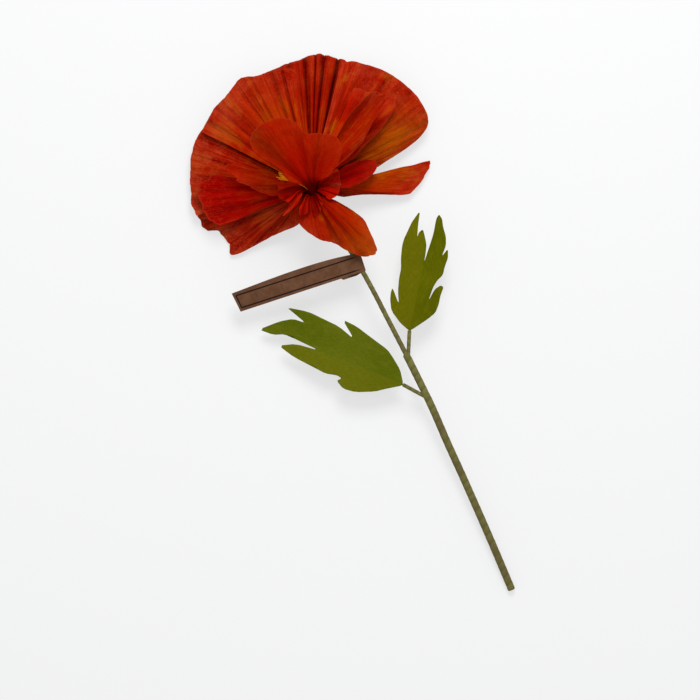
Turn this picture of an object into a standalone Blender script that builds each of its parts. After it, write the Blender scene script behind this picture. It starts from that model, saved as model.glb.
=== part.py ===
"""Paper poppy: gathered paper petals on a wrapped wire stem, two cut leaves and a folded paper tag.

The flower lies on its back petals and on the cut end of its stem. The stem runs along +Y from its cut
end to the bloom, and +Z points up. Sizes are in millimetres until the last step.
"""

import math

import bmesh
import bpy
import numpy as np
from mathutils import Matrix, Vector

MM = 0.001

# Stem: one main wire in a wound paper strip. Two leaf wires run inside the thicker lower part.
WIRE_RADIUS = 0.8
LEAF_WIRE_RADIUS = 0.4
UPPER_WRAP_RADIUS = 1.65
LOWER_WRAP_RADIUS = 2.7
STALK_WRAP_RADIUS = 1.25
WRAP_THICKNESS = 0.5
# The stem's length up to the bend below the bloom, and its side sway as (distance from the cut end,
# offset to the right). The sway's distances stretch with the stem.
STEM_LENGTH = 330.0
STEM_SWAY = np.array((
    (0, 0.0), (46, 1.0), (96, 1.4), (128, 1.3), (158, 1.7), (182, 1.1), (209, 0.0), (240, -1.7),
    (263, -2.9), (285, -4.7), (300, -6.4), (330, -10.8)))
STEM_RISE = 0.083
# The neck is where the petals are gathered: so far left of, beyond and above the stem's end.
NECK_ASIDE = -14.5
NECK_AHEAD = 23.0
NECK_HEIGHT = 38.5
NECK = Vector((NECK_ASIDE, STEM_LENGTH + NECK_AHEAD, NECK_HEIGHT))
BLOOM_TILT = 34.0
NECK_BEND = 9.0

# Leaves: where each stalk leaves the stem, where its blade starts, and the way the blade points.
LOWER_JOINT = 0.5145 * STEM_LENGTH
JOINT_SPACING = 36.0
UPPER_JOINT = LOWER_JOINT + JOINT_SPACING
LOWER_STALK_ANGLE = -36.0
UPPER_STALK_ANGLE = 29.0
STALK_LENGTH = 20.0
LOWER_LEAF_LENGTH = 121.0
UPPER_LEAF_LENGTH = 95.0
LOWER_LEAF_ANGLE = 134.4
UPPER_LEAF_ANGLE = 54.5
LEAF_THICKNESS = 0.4
LEAF_DROOP = 7.0
LEAF_FOLD = 2.0
LEAF_WIRE_GRIP = 30.0
WIRE_OVERLAP = 30.0
CUTTER_REACH = 40.0

# Tag: one kraft strip folded round the stem, its two halves glued back to back.
TAG_BELOW_BEND = 41.2
TAG_AT = STEM_LENGTH - TAG_BELOW_BEND
TAG_LENGTH = 103.5
TAG_WIDTH = 16.0
TAG_TAPER = 1.0
TAG_ANGLE = 173.6
TAG_THICKNESS = 0.3
TAG_DROOP = 9.0
TAG_LOOP_SLACK = 2.0
TAG_LOOP_OPENING = 9.0

# Bloom: petals gathered in nested rings round the wire and bound by a strip. The petals' table below is
# scaled so that the longest petal has this reach from the gather.
BLOOM_REACH = 112.0
PAPER = 0.35
RING_START = 3.4
RING_STEP = 0.8
PETAL_TUCK = 8.0
GATHER_AHEAD = 5.5
BINDING_THICKNESS = 0.6
CLEARANCE = 0.3

# Stamens: a fringed strip rolled round the top of the wire.
STAMEN_LENGTH = 28.0
STAMEN_CUT = 10.0
STAMEN_SPREAD_FRONT = 2.3
STAMEN_SPREAD_BACK = 23.0
STAMEN_LEAN = 258.0
STAMEN_COUNT = 18

LEAF_OUTLINES = {
    "lower": (
        (0, -1), (6, -10), (15, -17), (21, -21), (36, -25), (50, -29), (62, -30), (48, -19), (63, -24),
        (76, -25), (89, -26), (106, -23), (98, -20.5), (88, -17), (98, -16.5), (107, -11), (120, 1),
        (108, 0.7), (100, -2.8), (90, -2.4), (70, -0.9), (89, 0.9), (101, 7), (87, 11), (68, 13), (59, 14),
        (50, 12), (46, 13), (49, 16), (42, 20), (32, 19), (18, 13), (11, 8), (0, 1),
    ),
    "upper": (
        (0, -1), (11, -12), (17, -17), (24, -18.4), (31, -18.3), (38, -19.5), (39, -17), (35, -13),
        (25, -10), (36, -11.4), (42, -13.5), (47, -17), (54, -17.3), (61, -18.4), (68, -17), (61, -13.4),
        (70, -15), (77, -13.6), (84, -10), (90, -8), (93, -5), (89, -3.5), (77, -3.7), (63, -2), (54, -0.9),
        (62, -0.6), (68, 0), (75, 3), (79, 5), (76, 7.7), (72, 8.2), (82, 9.4), (93, 10), (83, 14.6),
        (77, 16), (69, 18), (63, 18.4), (54, 17.5), (46, 15.8), (38, 15.8), (28, 14.7), (18, 12), (30, 19.4),
        (26, 20), (20, 19.3), (12, 16.7), (4, 8), (0, 1),
    ),
}

# Each petal: ring number, azimuths of its base round the neck, first handle, last handle and its slope,
# pleat count, pleat depth, and the rim as (direction, reach, height) read round the bloom.
PETALS = {
    "petal_back_top": (3, 128, 182, 9, 45, -12, 9, 2.6, (
        (42, 98, 5), (50, 106, 4), (55, 108, 4), (62, 109, 3), (68, 107, 3), (76, 104, 4), (88, 100, 5))),
    "petal_back_upper_left": (2, 164, 220, 14, 45, -8, 10, 1.8, (
        (74, 97, 14), (80, 101, 14), (89, 102, 14), (98, 105, 14), (104, 103, 14), (115, 101, 14),
        (128, 100, 14))),
    "petal_back_left": (3, 206, 260, 10.5, 45, -6, 9, 1.6, (
        (120, 99, 8), (127, 101, 8), (138, 101, 8), (151, 98, 9), (160, 98, 10), (168, 95, 12))),
    "petal_back_lower_left": (4, 248, 300, 9.5, 28, -10, 9, 1.6, (
        (163, 95, 2), (170, 93, 2), (176, 90, 2), (180, 81, 2), (189, 81, 2), (195, 82, 3), (202, 57, 8),
        (211, 40, 14), (222, 28, 20))),
    "petal_back_right": (2, 111, 158, 12, 45, -8, 9, 1.8, (
        (-5, 56, 14), (-3, 66, 13), (-1, 82, 12), (2, 98, 12), (7, 109, 12), (17, 112, 12), (27, 112, 12),
        (34, 112, 12), (41, 110, 13), (47, 109, 14), (53, 104, 14))),
    "petal_right_long": (3, 80, 106, 4.5, 26, -6, 4, 1.0, (
        (-37, 25, 24), (-32, 35, 20), (-29, 49, 16), (-27.5, 66, 11), (-26.5, 77, 9), (-22, 84, 7),
        (-17, 91, 5), (-13, 95, 4), (-10, 97, 4))),
    "petal_lower": (4, -44, 40, 6, 16, -4, 8, 1.2, (
        (-136, 26, 38), (-114, 36, 38), (-103, 42, 38), (-93, 46, 38), (-85, 57, 38), (-77, 69, 38),
        (-70, 74, 38), (-67, 71, 38), (-61, 58, 38), (-54, 46, 38), (-51, 28, 39))),
    "petal_inner_front": (0, 66, -62, 16, 20, 30, 6, 0.9, (
        (13, 17, 60), (20, 30, 68), (30, 41, 76), (42, 46, 80), (56, 44, 82), (72, 44, 85), (80, 55, 90),
        (90, 62, 94), (100, 63, 95), (109, 64, 93), (117, 62, 90), (123, 54, 85), (126, 40, 76), (128, 23, 62))),
    "petal_inner_right_tall": (0, 68, 120, 22, 30, 20, 4, 1.0, (
        (15, 40, 55), (22, 66, 54), (26, 90, 52), (30, 92, 52), (35, 87, 54), (39, 70, 58))),
    "petal_inner_right_broad": (1, 82, 140, 15, 36, 8, 5, 1.0, (
        (12, 44, 40), (18, 76, 32), (22, 97, 28), (28, 96, 28), (36, 90, 30), (44, 86, 32))),
    "petal_inner_right_low": (2, 70, 102, 7.5, 18, 0, 4, 0.9, (
        (-22, 30, 38), (-9, 51, 30), (0, 56, 28), (5, 46, 34), (10, 32, 40))),
    "petal_inner_left_upper": (1, 230, 268, 13, 22, 0, 6, 1.0, (
        (137, 64, 36), (141, 70, 33), (146, 59, 33), (152, 54, 33), (158, 44, 36), (164, 32, 39))),
    "petal_inner_left_lower": (2, 230, 286, 11.5, 34, -4, 7, 1.0, (
        (147, 80, 20), (152, 89, 18), (156, 90, 18), (163, 88, 18), (172, 84, 18), (177, 80, 19))),
    "collar_left": (0, 244, 288, 18, 7, -6, 4, 1.2, (
        (143, 28, 48), (158, 27, 48), (171, 28, 47), (184, 22, 47), (193, 21, 46), (199, 31, 43),
        (202, 17, 45))),
    "collar_front": (1, -60, 8, 10, 6, -20, 4, 1.6, (
        (209, 16, 51), (222, 23, 48), (237, 20, 46), (256, 22, 46), (268, 19, 47), (281, 15, 48),
        (289, 12, 50))),
    "collar_right": (1, 16, 78, 13, 6, -5, 4, 1.4, (
        (-54, 17, 47), (-40, 20, 47), (-26, 22, 47), (-4, 24, 47), (12, 26, 47), (18, 22, 47))),
}

PETAL_SCALE = BLOOM_REACH / max(knot[1] for petal in PETALS.values() for knot in petal[-1])

RED = (0.43, 0.015, 0.002)
ORANGE_RED = (0.50, 0.03, 0.004)
GREEN = (0.13, 0.15, 0.006)
STEM_GREEN = (0.15, 0.16, 0.04)
KRAFT = (0.19, 0.08, 0.04)
YELLOW = (0.80, 0.33, 0.015)
STEEL = (0.40, 0.38, 0.34)

for old in list(bpy.data.objects):
    bpy.data.objects.remove(old)
for old in list(bpy.data.meshes):
    bpy.data.meshes.remove(old)

flower = bpy.data.collections.new("paper_poppy")
bpy.context.scene.collection.children.link(flower)
cutters = bpy.data.collections.new("cutters")
bpy.context.scene.collection.children.link(cutters)


# Heights below count from the table. The finished frame has its origin in the cut end of the stem.
TO_FRAME = Matrix.Scale(MM, 4) @ Matrix.Translation((0, 0, -LOWER_WRAP_RADIUS))


def material(name, colour, roughness, metallic=0.0):
    made = bpy.data.materials.new(name)
    made.use_nodes = True
    shader = made.node_tree.nodes["Principled BSDF"]
    shader.inputs["Base Color"].default_value = (*colour, 1.0)
    shader.inputs["Roughness"].default_value = roughness
    shader.inputs["Metallic"].default_value = metallic
    return made


def place(name, mesh, paint):
    """Link a mesh made in millimetres as one object of the flower."""
    mesh.transform(TO_FRAME)
    mesh.materials.clear()
    mesh.materials.append(paint)
    obj = bpy.data.objects.new(name, mesh)
    flower.objects.link(obj)
    return obj


def grid_mesh(name, points, closed=False):
    """A grid primitive whose corners are moved to the given rows and columns of points."""
    rows, columns = points.shape[:2]
    grid = bmesh.new()
    bmesh.ops.create_grid(grid, x_segments=columns - 1, y_segments=rows - 1, size=1.0)
    for vert in grid.verts:
        column = round((vert.co.x + 1) / 2 * (columns - 1))
        row = round((vert.co.y + 1) / 2 * (rows - 1))
        vert.co = points[row, column]
    if closed:
        bmesh.ops.remove_doubles(grid, verts=grid.verts, dist=0.001)
    mesh = bpy.data.meshes.new(name)
    grid.to_mesh(mesh)
    grid.free()
    return mesh


def sheet(name, points, thickness, paint, closed=False):
    """A paper sheet: a shaped grid given its thickness, half to each side."""
    obj = place(name, grid_mesh(name, points, closed), paint)
    solid = obj.modifiers.new("paper", "SOLIDIFY")
    solid.thickness = thickness * MM
    solid.offset = 0.0
    solid.use_even_offset = False
    solid.use_quality_normals = True
    return obj


def smooth_path(knots, count):
    """Points along a smooth curve through the knots, evenly numbered from end to end."""
    knots = np.array(knots, float)
    padded = np.vstack([2 * knots[0] - knots[1], knots, 2 * knots[-1] - knots[-2]])
    place_on = np.linspace(0, len(knots) - 1, count)
    first = np.minimum(place_on.astype(int), len(knots) - 2)
    t = (place_on - first)[:, None]
    a, b, c, d = (padded[first + k] for k in range(4))
    return 0.5 * (2 * b + (c - a) * t + (2 * a - 5 * b + 4 * c - d) * t**2 + (3 * b - a - 3 * c + d) * t**3)


def round_bar(name, path, radius, fill_caps=True):
    """A curve with a round section along the path, turned into a mesh."""
    curve = bpy.data.curves.new(name, "CURVE")
    curve.dimensions = "3D"
    curve.bevel_depth = radius
    curve.bevel_resolution = 2
    curve.use_fill_caps = fill_caps
    spline = curve.splines.new("POLY")
    spline.points.add(len(path) - 1)
    for point, co in zip(spline.points, path):
        point.co = (*co, 1.0)
    guide = bpy.data.objects.new(name + "_guide", curve)
    cutters.objects.link(guide)
    mesh = bpy.data.meshes.new_from_object(guide)
    bpy.data.objects.remove(guide)
    joined = bmesh.new()
    joined.from_mesh(mesh)
    bmesh.ops.remove_doubles(joined, verts=joined.verts, dist=0.001)
    bmesh.ops.recalc_face_normals(joined, faces=joined.faces)
    joined.to_mesh(mesh)
    joined.free()
    return mesh


def wire(name, path, radius, paint):
    return place(name, round_bar(name, path, radius), paint)


def wound_tube(name, path, radius, paint):
    """A wound strip: a tube of the wrap's thickness along the path, open at both ends."""
    obj = place(name, round_bar(name, path, radius, fill_caps=False), paint)
    wall = obj.modifiers.new("wrap", "SOLIDIFY")
    wall.thickness = WRAP_THICKNESS * MM
    wall.offset = -1.0
    return obj


def stem_point(along):
    """The stem's centreline at a distance from its cut end, below the neck bend."""
    distances = STEM_SWAY[:, 0] * STEM_LENGTH / STEM_SWAY[-1, 0]
    aside = float(np.interp(along, distances, STEM_SWAY[:, 1]))
    return Vector((aside, along, LOWER_WRAP_RADIUS + STEM_RISE * along))


def stem_line(start, end, count):
    return [stem_point(start + (end - start) * k / (count - 1)) for k in range(count)]


tilt = math.radians(BLOOM_TILT)
AXIS = Vector((0, math.cos(tilt), math.sin(tilt)))
FRONT = Vector((0, -math.sin(tilt), math.cos(tilt)))
RIGHT = Vector((1, 0, 0))


def round_neck(azimuth, radius, along):
    """A point round the neck: azimuth 0 faces up and forward, 90 faces right."""
    turn = math.radians(azimuth)
    return NECK + AXIS * along + (FRONT * math.cos(turn) + RIGHT * math.sin(turn)) * radius


def neck_line(first, last, count):
    """The bend from the stem up into the bloom, by its distance before the neck."""
    low = stem_point(STEM_LENGTH)
    into = NECK - AXIS * PETAL_TUCK
    bend = [low, (low + into) / 2 - FRONT * 1.0, into - AXIS * NECK_BEND * 0.35, into, NECK]
    line = smooth_path(bend, 25)
    return [Vector(p) for p in line[first : last : count]]


red_paper = material("petal_paper", RED, 0.75)
inner_paper = material("inner_petal_paper", ORANGE_RED, 0.75)
leaf_paper = material("leaf_paper", GREEN, 0.7)
wrap_paper = material("stem_wrap", STEM_GREEN, 0.7)
kraft_paper = material("kraft_tag", KRAFT, 0.8)
stamen_paper = material("stamen_paper", YELLOW, 0.75)
steel_wire = material("wire", STEEL, 0.4, 0.9)


def wave(x):
    """A zigzag between -1 and 1."""
    return 4 * np.abs(x % 1.0 - 0.5) - 1


def petal_points(ring, first, last, lead, trail, slope, pleats, depth, rim, rows=8):
    """Rays from an arc on the neck ring, bending over to the rim, folded into pleats that widen outward."""
    columns = 2 * pleats + 1
    across = np.linspace(0, 1, columns)
    azimuth = first + (last - first) * across
    radius = RING_START + RING_STEP * ring
    base = np.array([round_neck(a, radius, 0) for a in azimuth])
    lead, trail, depth = lead * PETAL_SCALE, trail * PETAL_SCALE, depth * PETAL_SCALE
    reach = smooth_path(np.array(rim, float) * (1, PETAL_SCALE, PETAL_SCALE), columns)
    heading = np.radians(reach[:, 0])
    outward = np.stack([np.cos(heading), np.sin(heading), np.zeros(columns)], 1)
    end = np.array(NECK + AXIS * GATHER_AHEAD) + outward * reach[:, 1:2]
    end[:, 2] = reach[:, 2]
    rise = math.radians(slope)
    arrive = outward * math.cos(rise) + np.array([0, 0, math.sin(rise)])
    lead_out = base + np.array(AXIS) * lead
    last_pull = end - arrive * np.minimum(trail, 0.6 * reach[:, 1:2])
    t = np.linspace(0, 1, rows)[:, None, None] ** 1.15
    fan = (1 - t)**3 * base + 3 * (1 - t)**2 * t * lead_out + 3 * (1 - t) * t**2 * last_pull + t**3 * end
    side = np.gradient(fan, axis=1)
    out = np.gradient(fan, axis=0)
    normal = np.cross(side, out)
    normal /= np.linalg.norm(normal, axis=2, keepdims=True) + 1e-9
    growth = (t**1.4 * (1.3 - 0.7 * t**3))[..., 0]
    fan = fan + normal * (depth * growth * wave(across * pleats)[None, :])[..., None]
    tuck = base - np.array(AXIS) * PETAL_TUCK
    return np.concatenate([tuck[None], fan], 0)


for petal, values in PETALS.items():
    small = petal.startswith("collar")
    paint = inner_paper if small or "inner" in petal else red_paper
    sheet(petal, petal_points(*values, rows=5 if small else 8), PAPER, paint)


# Stamens: a tube round the wire that opens into pointed fringe strips.
around = np.linspace(0, 2 * math.pi, 2 * STAMEN_COUNT + 1)
tips = np.where(np.arange(2 * STAMEN_COUNT + 1) % 2 == 0, STAMEN_LENGTH, STAMEN_LENGTH - STAMEN_CUT)
rolled = WIRE_RADIUS + CLEARANCE + PAPER
stamen_rows = []
for part in (0.0, 0.3, 0.65, 1.0):
    open_side = np.maximum(np.cos(around - math.radians(STAMEN_LEAN)), 0)**5
    widest = STAMEN_SPREAD_FRONT + (STAMEN_SPREAD_BACK - STAMEN_SPREAD_FRONT) * open_side
    above = (tips + PETAL_TUCK / 2) * part
    spread = (rolled + (widest - rolled) * (above / (STAMEN_LENGTH + PETAL_TUCK / 2))**2.5)[:, None]
    level = above - PETAL_TUCK / 2
    spokes = np.outer(np.cos(around), np.array(FRONT)) + np.outer(np.sin(around), np.array(RIGHT))
    stamen_rows.append(np.array(NECK) + np.outer(level, np.array(AXIS)) + spread * spokes)
sheet("stamen_fringe", np.array(stamen_rows), PAPER, stamen_paper, closed=True)

# Binding: a wound strip that holds the petal bases and tapers to the stem below them.
outer_ring = RING_START + RING_STEP * 4
bind_inside = outer_ring + PAPER / 2 + CLEARANCE
turn = np.linspace(0, 2 * math.pi, 17)
spokes = np.outer(np.cos(turn), np.array(FRONT)) + np.outer(np.sin(turn), np.array(RIGHT))
section = (
    (bind_inside + BINDING_THICKNESS / 2, -2.5),
    (bind_inside + BINDING_THICKNESS / 2, -PETAL_TUCK - 0.6),
    (UPPER_WRAP_RADIUS + CLEARANCE + BINDING_THICKNESS / 2, -PETAL_TUCK - NECK_BEND * 0.35),
)
binding = np.array([np.array(NECK) + np.array(AXIS) * level + radius * spokes for radius, level in section])
sheet("bloom_binding", binding, BINDING_THICKNESS, wrap_paper, closed=True)

# Stem wire: from the cut end to a point inside the stamens.
stem_top = [NECK + AXIS * 4]
neck_bend = neck_line(0, 25, 4)
path = stem_line(0.0, STEM_LENGTH - 4, 14) + neck_bend + stem_top
wire("stem_wire", path, WIRE_RADIUS, steel_wire)

# Wraps: two thick lengths round all three wires, and a thin one above the upper joint.
GAP_AT_LOWER = 2.9
GAP_AT_UPPER = 1.5
wound_tube("stem_wrap_lower", stem_line(0.0, LOWER_JOINT, 9), LOWER_WRAP_RADIUS, wrap_paper)
wound_tube("stem_wrap_middle", stem_line(LOWER_JOINT + GAP_AT_LOWER, UPPER_JOINT, 4), LOWER_WRAP_RADIUS, wrap_paper)
thin = stem_line(UPPER_JOINT + GAP_AT_UPPER, STEM_LENGTH - 4, 9) + neck_line(0, 15, 4)
wound_tube("stem_wrap_upper", thin, UPPER_WRAP_RADIUS, wrap_paper)


def leaf(side, joint, stalk_angle, blade_length, blade_angle):
    """A stalk wire from inside the stem wrap to under the blade, its wound strip, and the cut blade."""
    offset = WIRE_RADIUS + LEAF_WIRE_RADIUS + CLEARANCE
    ahead = (stem_point(joint + 5) - stem_point(joint - 5)).normalized()
    turn_by = math.radians(abs(stalk_angle))
    aside = Vector((math.copysign(1.0, stalk_angle), 0, 0))
    heading = ahead * math.cos(turn_by) + aside * math.sin(turn_by)
    inside = [stem_point(joint - back) + aside * offset for back in (WIRE_OVERLAP, WIRE_OVERLAP / 2, CLEARANCE)]
    leave = stem_point(joint) + aside * offset
    drop = LEAF_THICKNESS / 2 + CLEARANCE + LEAF_WIRE_RADIUS
    base = leave + heading * STALK_LENGTH + Vector((0, 0, drop))
    blade = math.radians(blade_angle)
    along = Vector((math.cos(blade), math.sin(blade), 0))
    under = [blade_point(base, along, LEAF_WIRE_GRIP * s) - Vector((0, 0, drop)) for s in (0.1, 0.4, 0.7, 1.0)]
    stalk = inside + [leave + heading * STALK_LENGTH * s for s in (0.1, 0.4, 0.7, 0.85)] + under
    wire("leaf_wire_" + side, stalk, LEAF_WIRE_RADIUS, steel_wire)
    wrapped = [leave + heading * STALK_LENGTH * s for s in (0.23, 0.45, 0.65, 0.8)]
    wound_tube("stalk_wrap_" + side, wrapped, STALK_WRAP_RADIUS, wrap_paper)
    outline = np.array(LEAF_OUTLINES[side], float)
    blade_sheet("leaf_" + side, outline * (blade_length / outline[:, 0].max()), base, blade)


def blade_point(base, along, distance):
    """A point on the blade's middle line, which droops toward the tip."""
    return base + along * distance - Vector((0, 0, LEAF_DROOP * (distance / 100) ** 2))


def blade_sheet(name, outline, base, turn_by):
    """A curved sheet of leaf paper cut to its lobed outline."""
    long_way = np.linspace(outline[:, 0].min() - 2, outline[:, 0].max() + 2, 13)
    short_way = np.linspace(outline[:, 1].min() - 2, outline[:, 1].max() + 2, 9)
    across, along = np.meshgrid(short_way, long_way)
    droop = -LEAF_DROOP * (along / 100) ** 2 + LEAF_FOLD * (across / 20) ** 2
    mesh = grid_mesh(name, np.stack([along, across, droop], -1))
    cutter_mesh = bpy.data.meshes.new(name + "_outline")
    prism = bmesh.new()
    corners = [prism.verts.new((x, y, -CUTTER_REACH)) for x, y in outline]
    face = prism.faces.new(corners)
    raised = bmesh.ops.extrude_face_region(prism, geom=[face])["geom"]
    bmesh.ops.translate(prism, verts=[g for g in raised if isinstance(g, bmesh.types.BMVert)], vec=(0, 0, 2 * CUTTER_REACH))
    bmesh.ops.recalc_face_normals(prism, faces=prism.faces)
    prism.to_mesh(cutter_mesh)
    prism.free()
    put = Matrix.Translation(base) @ Matrix.Rotation(turn_by, 4, "Z")
    mesh.transform(put)
    cutter_mesh.transform(TO_FRAME @ put)
    cutter = bpy.data.objects.new(name + "_outline", cutter_mesh)
    cutter.hide_render = True
    cutter.display_type = "WIRE"
    cutters.objects.link(cutter)
    obj = place(name, mesh, leaf_paper)
    solid = obj.modifiers.new("paper", "SOLIDIFY")
    solid.thickness = LEAF_THICKNESS * MM
    solid.offset = 0.0
    cut = obj.modifiers.new("outline", "BOOLEAN")
    cut.operation = "INTERSECT"
    cut.solver = "EXACT"
    cut.object = cutter
    return obj


leaf("lower", LOWER_JOINT, LOWER_STALK_ANGLE, LOWER_LEAF_LENGTH, LOWER_LEAF_ANGLE)
leaf("upper", UPPER_JOINT, UPPER_STALK_ANGLE, UPPER_LEAF_LENGTH, UPPER_LEAF_ANGLE)


# Tag: the path of the strip seen along its width, first the front half, then round the stem and back.
def tag_sheet():
    hold = stem_point(TAG_AT)
    turn_by = math.radians(TAG_ANGLE)
    along = np.array([math.cos(turn_by), math.sin(turn_by)])
    width_way = np.array([-along[1], along[0]]) * -1
    bend = UPPER_WRAP_RADIUS + CLEARANCE + TAG_THICKNESS / 2
    half_gap = (TAG_THICKNESS + CLEARANCE) / 2
    slack = TAG_LOOP_SLACK
    runs = np.concatenate([
        TAG_LENGTH * np.array([1.0, 0.77, 0.54, 0.31, 0.165]), slack + TAG_LOOP_OPENING * np.array([1.0, 0.6, 0.2])])
    front = np.interp(runs, [slack + TAG_LOOP_OPENING * 0.2, slack + TAG_LOOP_OPENING], [bend, half_gap])
    turn_round = np.radians(np.array([80.0, 45.0, 0.0, -45.0, -80.0]))
    profile = [(-r, h) for r, h in zip(runs, front)]
    profile += [(slack + bend * math.cos(a), bend * math.sin(a)) for a in turn_round]
    profile += [(-r, -h) for r, h in zip(runs[::-1], front[::-1])]
    profile = np.array(profile)
    distance = -profile[:, 0]
    level = hold.z + profile[:, 1] - TAG_DROOP * (np.maximum(distance, 0) / TAG_LENGTH) ** 1.5
    rows = []
    for part in (-0.5, 0.0, 0.5):
        wide = TAG_WIDTH - TAG_TAPER * (1 - distance / TAG_LENGTH)
        across = width_way[None, :] * (part * wide)[:, None]
        plan = np.array([hold.x, hold.y]) + along[None, :] * distance[:, None] + across
        rows.append(np.column_stack([plan, level + STEM_RISE * (plan[:, 1] - hold.y)]))
    return sheet("stem_tag", np.array(rows), TAG_THICKNESS, kraft_paper)


tag_sheet()
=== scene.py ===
# %% [markdown]
# # A paper poppy
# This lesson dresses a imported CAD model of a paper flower. The CAD solids are the frame: they say where each
# petal, leaf, wire and strip is. Here every piece of paper is made again as a thin, finely folded sheet, with
# a material of its own, and then lit and photographed on a pale table.

# %% Load the frame
import math
import bmesh
import bpy
import numpy as np
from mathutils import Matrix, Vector
from mathutils.geometry import delaunay_2d_cdt


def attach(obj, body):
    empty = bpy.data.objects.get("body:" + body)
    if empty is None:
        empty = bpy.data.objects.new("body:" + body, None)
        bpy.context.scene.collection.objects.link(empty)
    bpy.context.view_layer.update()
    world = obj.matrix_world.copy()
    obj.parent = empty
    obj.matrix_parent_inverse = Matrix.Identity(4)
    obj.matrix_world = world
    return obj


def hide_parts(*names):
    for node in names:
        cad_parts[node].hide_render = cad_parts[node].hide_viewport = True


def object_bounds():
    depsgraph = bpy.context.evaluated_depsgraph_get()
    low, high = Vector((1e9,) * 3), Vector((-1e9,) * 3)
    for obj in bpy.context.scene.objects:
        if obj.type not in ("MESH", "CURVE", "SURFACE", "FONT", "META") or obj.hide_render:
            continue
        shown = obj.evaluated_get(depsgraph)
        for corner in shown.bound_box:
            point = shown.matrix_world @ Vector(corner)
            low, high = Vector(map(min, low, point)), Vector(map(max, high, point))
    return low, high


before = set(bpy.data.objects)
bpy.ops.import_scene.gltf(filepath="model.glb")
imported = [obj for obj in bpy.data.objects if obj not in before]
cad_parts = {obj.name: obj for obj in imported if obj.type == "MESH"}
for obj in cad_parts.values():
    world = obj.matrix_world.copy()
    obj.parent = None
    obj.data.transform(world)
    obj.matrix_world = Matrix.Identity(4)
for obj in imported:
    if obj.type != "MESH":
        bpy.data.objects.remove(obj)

CAD_BOX = [list(corner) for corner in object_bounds()]
MM = 0.001
print("nodes in the frame:", len(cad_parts))

# %% [markdown]
# ## The table, the light and the camera
# The flower lies on its back, so the camera looks straight down on it. A long lens from high up keeps
# the heights of the petals from changing their outline much. One large soft lamp at the upper right and an
# even sky give the paper folds a light side and a dark side without hard shadows. A harder lamp would show
# every fold more, but it would also throw black shadows between the petals.

# %% Camera over the flower
PHOTO_CENTRE = Vector((-39.3, 228.3, 12.0)) * MM
PHOTO_UP = Vector((0.4107, 0.9118, 0.0))
FIELD = 0.560
CAMERA_DISTANCE = 6.0
SENSOR = 36.0

scene = bpy.context.scene
scene.view_settings.view_transform = "Standard"
camera = bpy.data.cameras.new("camera")
camera.sensor_width = SENSOR
camera.lens = SENSOR * CAMERA_DISTANCE / FIELD
camera.clip_end = 20.0
camera_object = bpy.data.objects.new("camera", camera)
scene.collection.objects.link(camera_object)
camera_object.location = PHOTO_CENTRE + Vector((0, 0, CAMERA_DISTANCE))
camera_object.rotation_euler = (0, 0, -math.atan2(PHOTO_UP.x, PHOTO_UP.y))
scene.camera = camera_object
print("lens in mm:", round(camera.lens, 1))


# %% [markdown]
# ## Short names for shader nodes
# A procedural material is a chain of small nodes. Typed out in full, each one takes four or five lines, so
# a few helpers make one node a line: a maths step, a blend of two colours, and a smooth step between values.


# %% Node helpers
PAPER_SHEEN = 0.01


def node(tree, kind, **values):
    """Add one shader node. Values go to its sockets by name; a socket of another node is linked."""
    made = tree.nodes.new(kind)
    for name, value in values.items():
        if name.startswith("set_"):
            setattr(made, name[4:], value)
            continue
        key = int(name[1:]) if name[0] == "_" else name.replace("_", " ")
        socket = made.inputs[key]
        if isinstance(value, bpy.types.NodeSocket):
            tree.links.new(value, socket)
        else:
            socket.default_value = value
    return made


def maths(tree, operation, a, b=0.0, clamp=False):
    """One Math node: operation on a and b."""
    return node(tree, "ShaderNodeMath", set_operation=operation, set_use_clamp=clamp, _0=a, _1=b).outputs[0]


def blend_colour(tree, factor, a, b, blend="MIX"):
    """One Mix node for colours: a where the factor is 0, b where it is 1."""
    mix = tree.nodes.new("ShaderNodeMix")
    mix.data_type = "RGBA"
    mix.blend_type = blend
    for socket, value in ((mix.inputs[0], factor), (mix.inputs[6], a), (mix.inputs[7], b)):
        if isinstance(value, bpy.types.NodeSocket):
            tree.links.new(value, socket)
        else:
            socket.default_value = value
    return mix.outputs[2]


def ramp(tree, value, low, high, out_low=0.0, out_high=1.0):
    """A smooth step from out_low to out_high as the value goes from low to high."""
    made = node(tree, "ShaderNodeMapRange", set_interpolation_type="SMOOTHSTEP", Value=value)
    for name, number in (("From Min", low), ("From Max", high), ("To Min", out_low), ("To Max", out_high)):
        made.inputs[name].default_value = number
    return made.outputs["Result"]


def new_material(name, roughness=0.75):
    """An empty Principled material: its tree and its shader."""
    made = bpy.data.materials.new(name)
    made.use_nodes = True
    shader = made.node_tree.nodes["Principled BSDF"]
    shader.inputs["Roughness"].default_value = roughness
    shader.inputs["Specular IOR Level"].default_value = PAPER_SHEEN
    return made, made.node_tree, shader


# %% [markdown]
# ## Floor, lamp and sky
# The floor is a pale matt square. To the camera alone it also glows a little, so that it looks white, while
# the light that it throws back on the paper stays that of a pale floor.


# %% Floor
FLOOR_HALF = 3.0
FLOOR_DROP = 0.0002
FLOOR_COLOUR = (0.86, 0.86, 0.86, 1)
FLOOR_GLOW = 0.62


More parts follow.
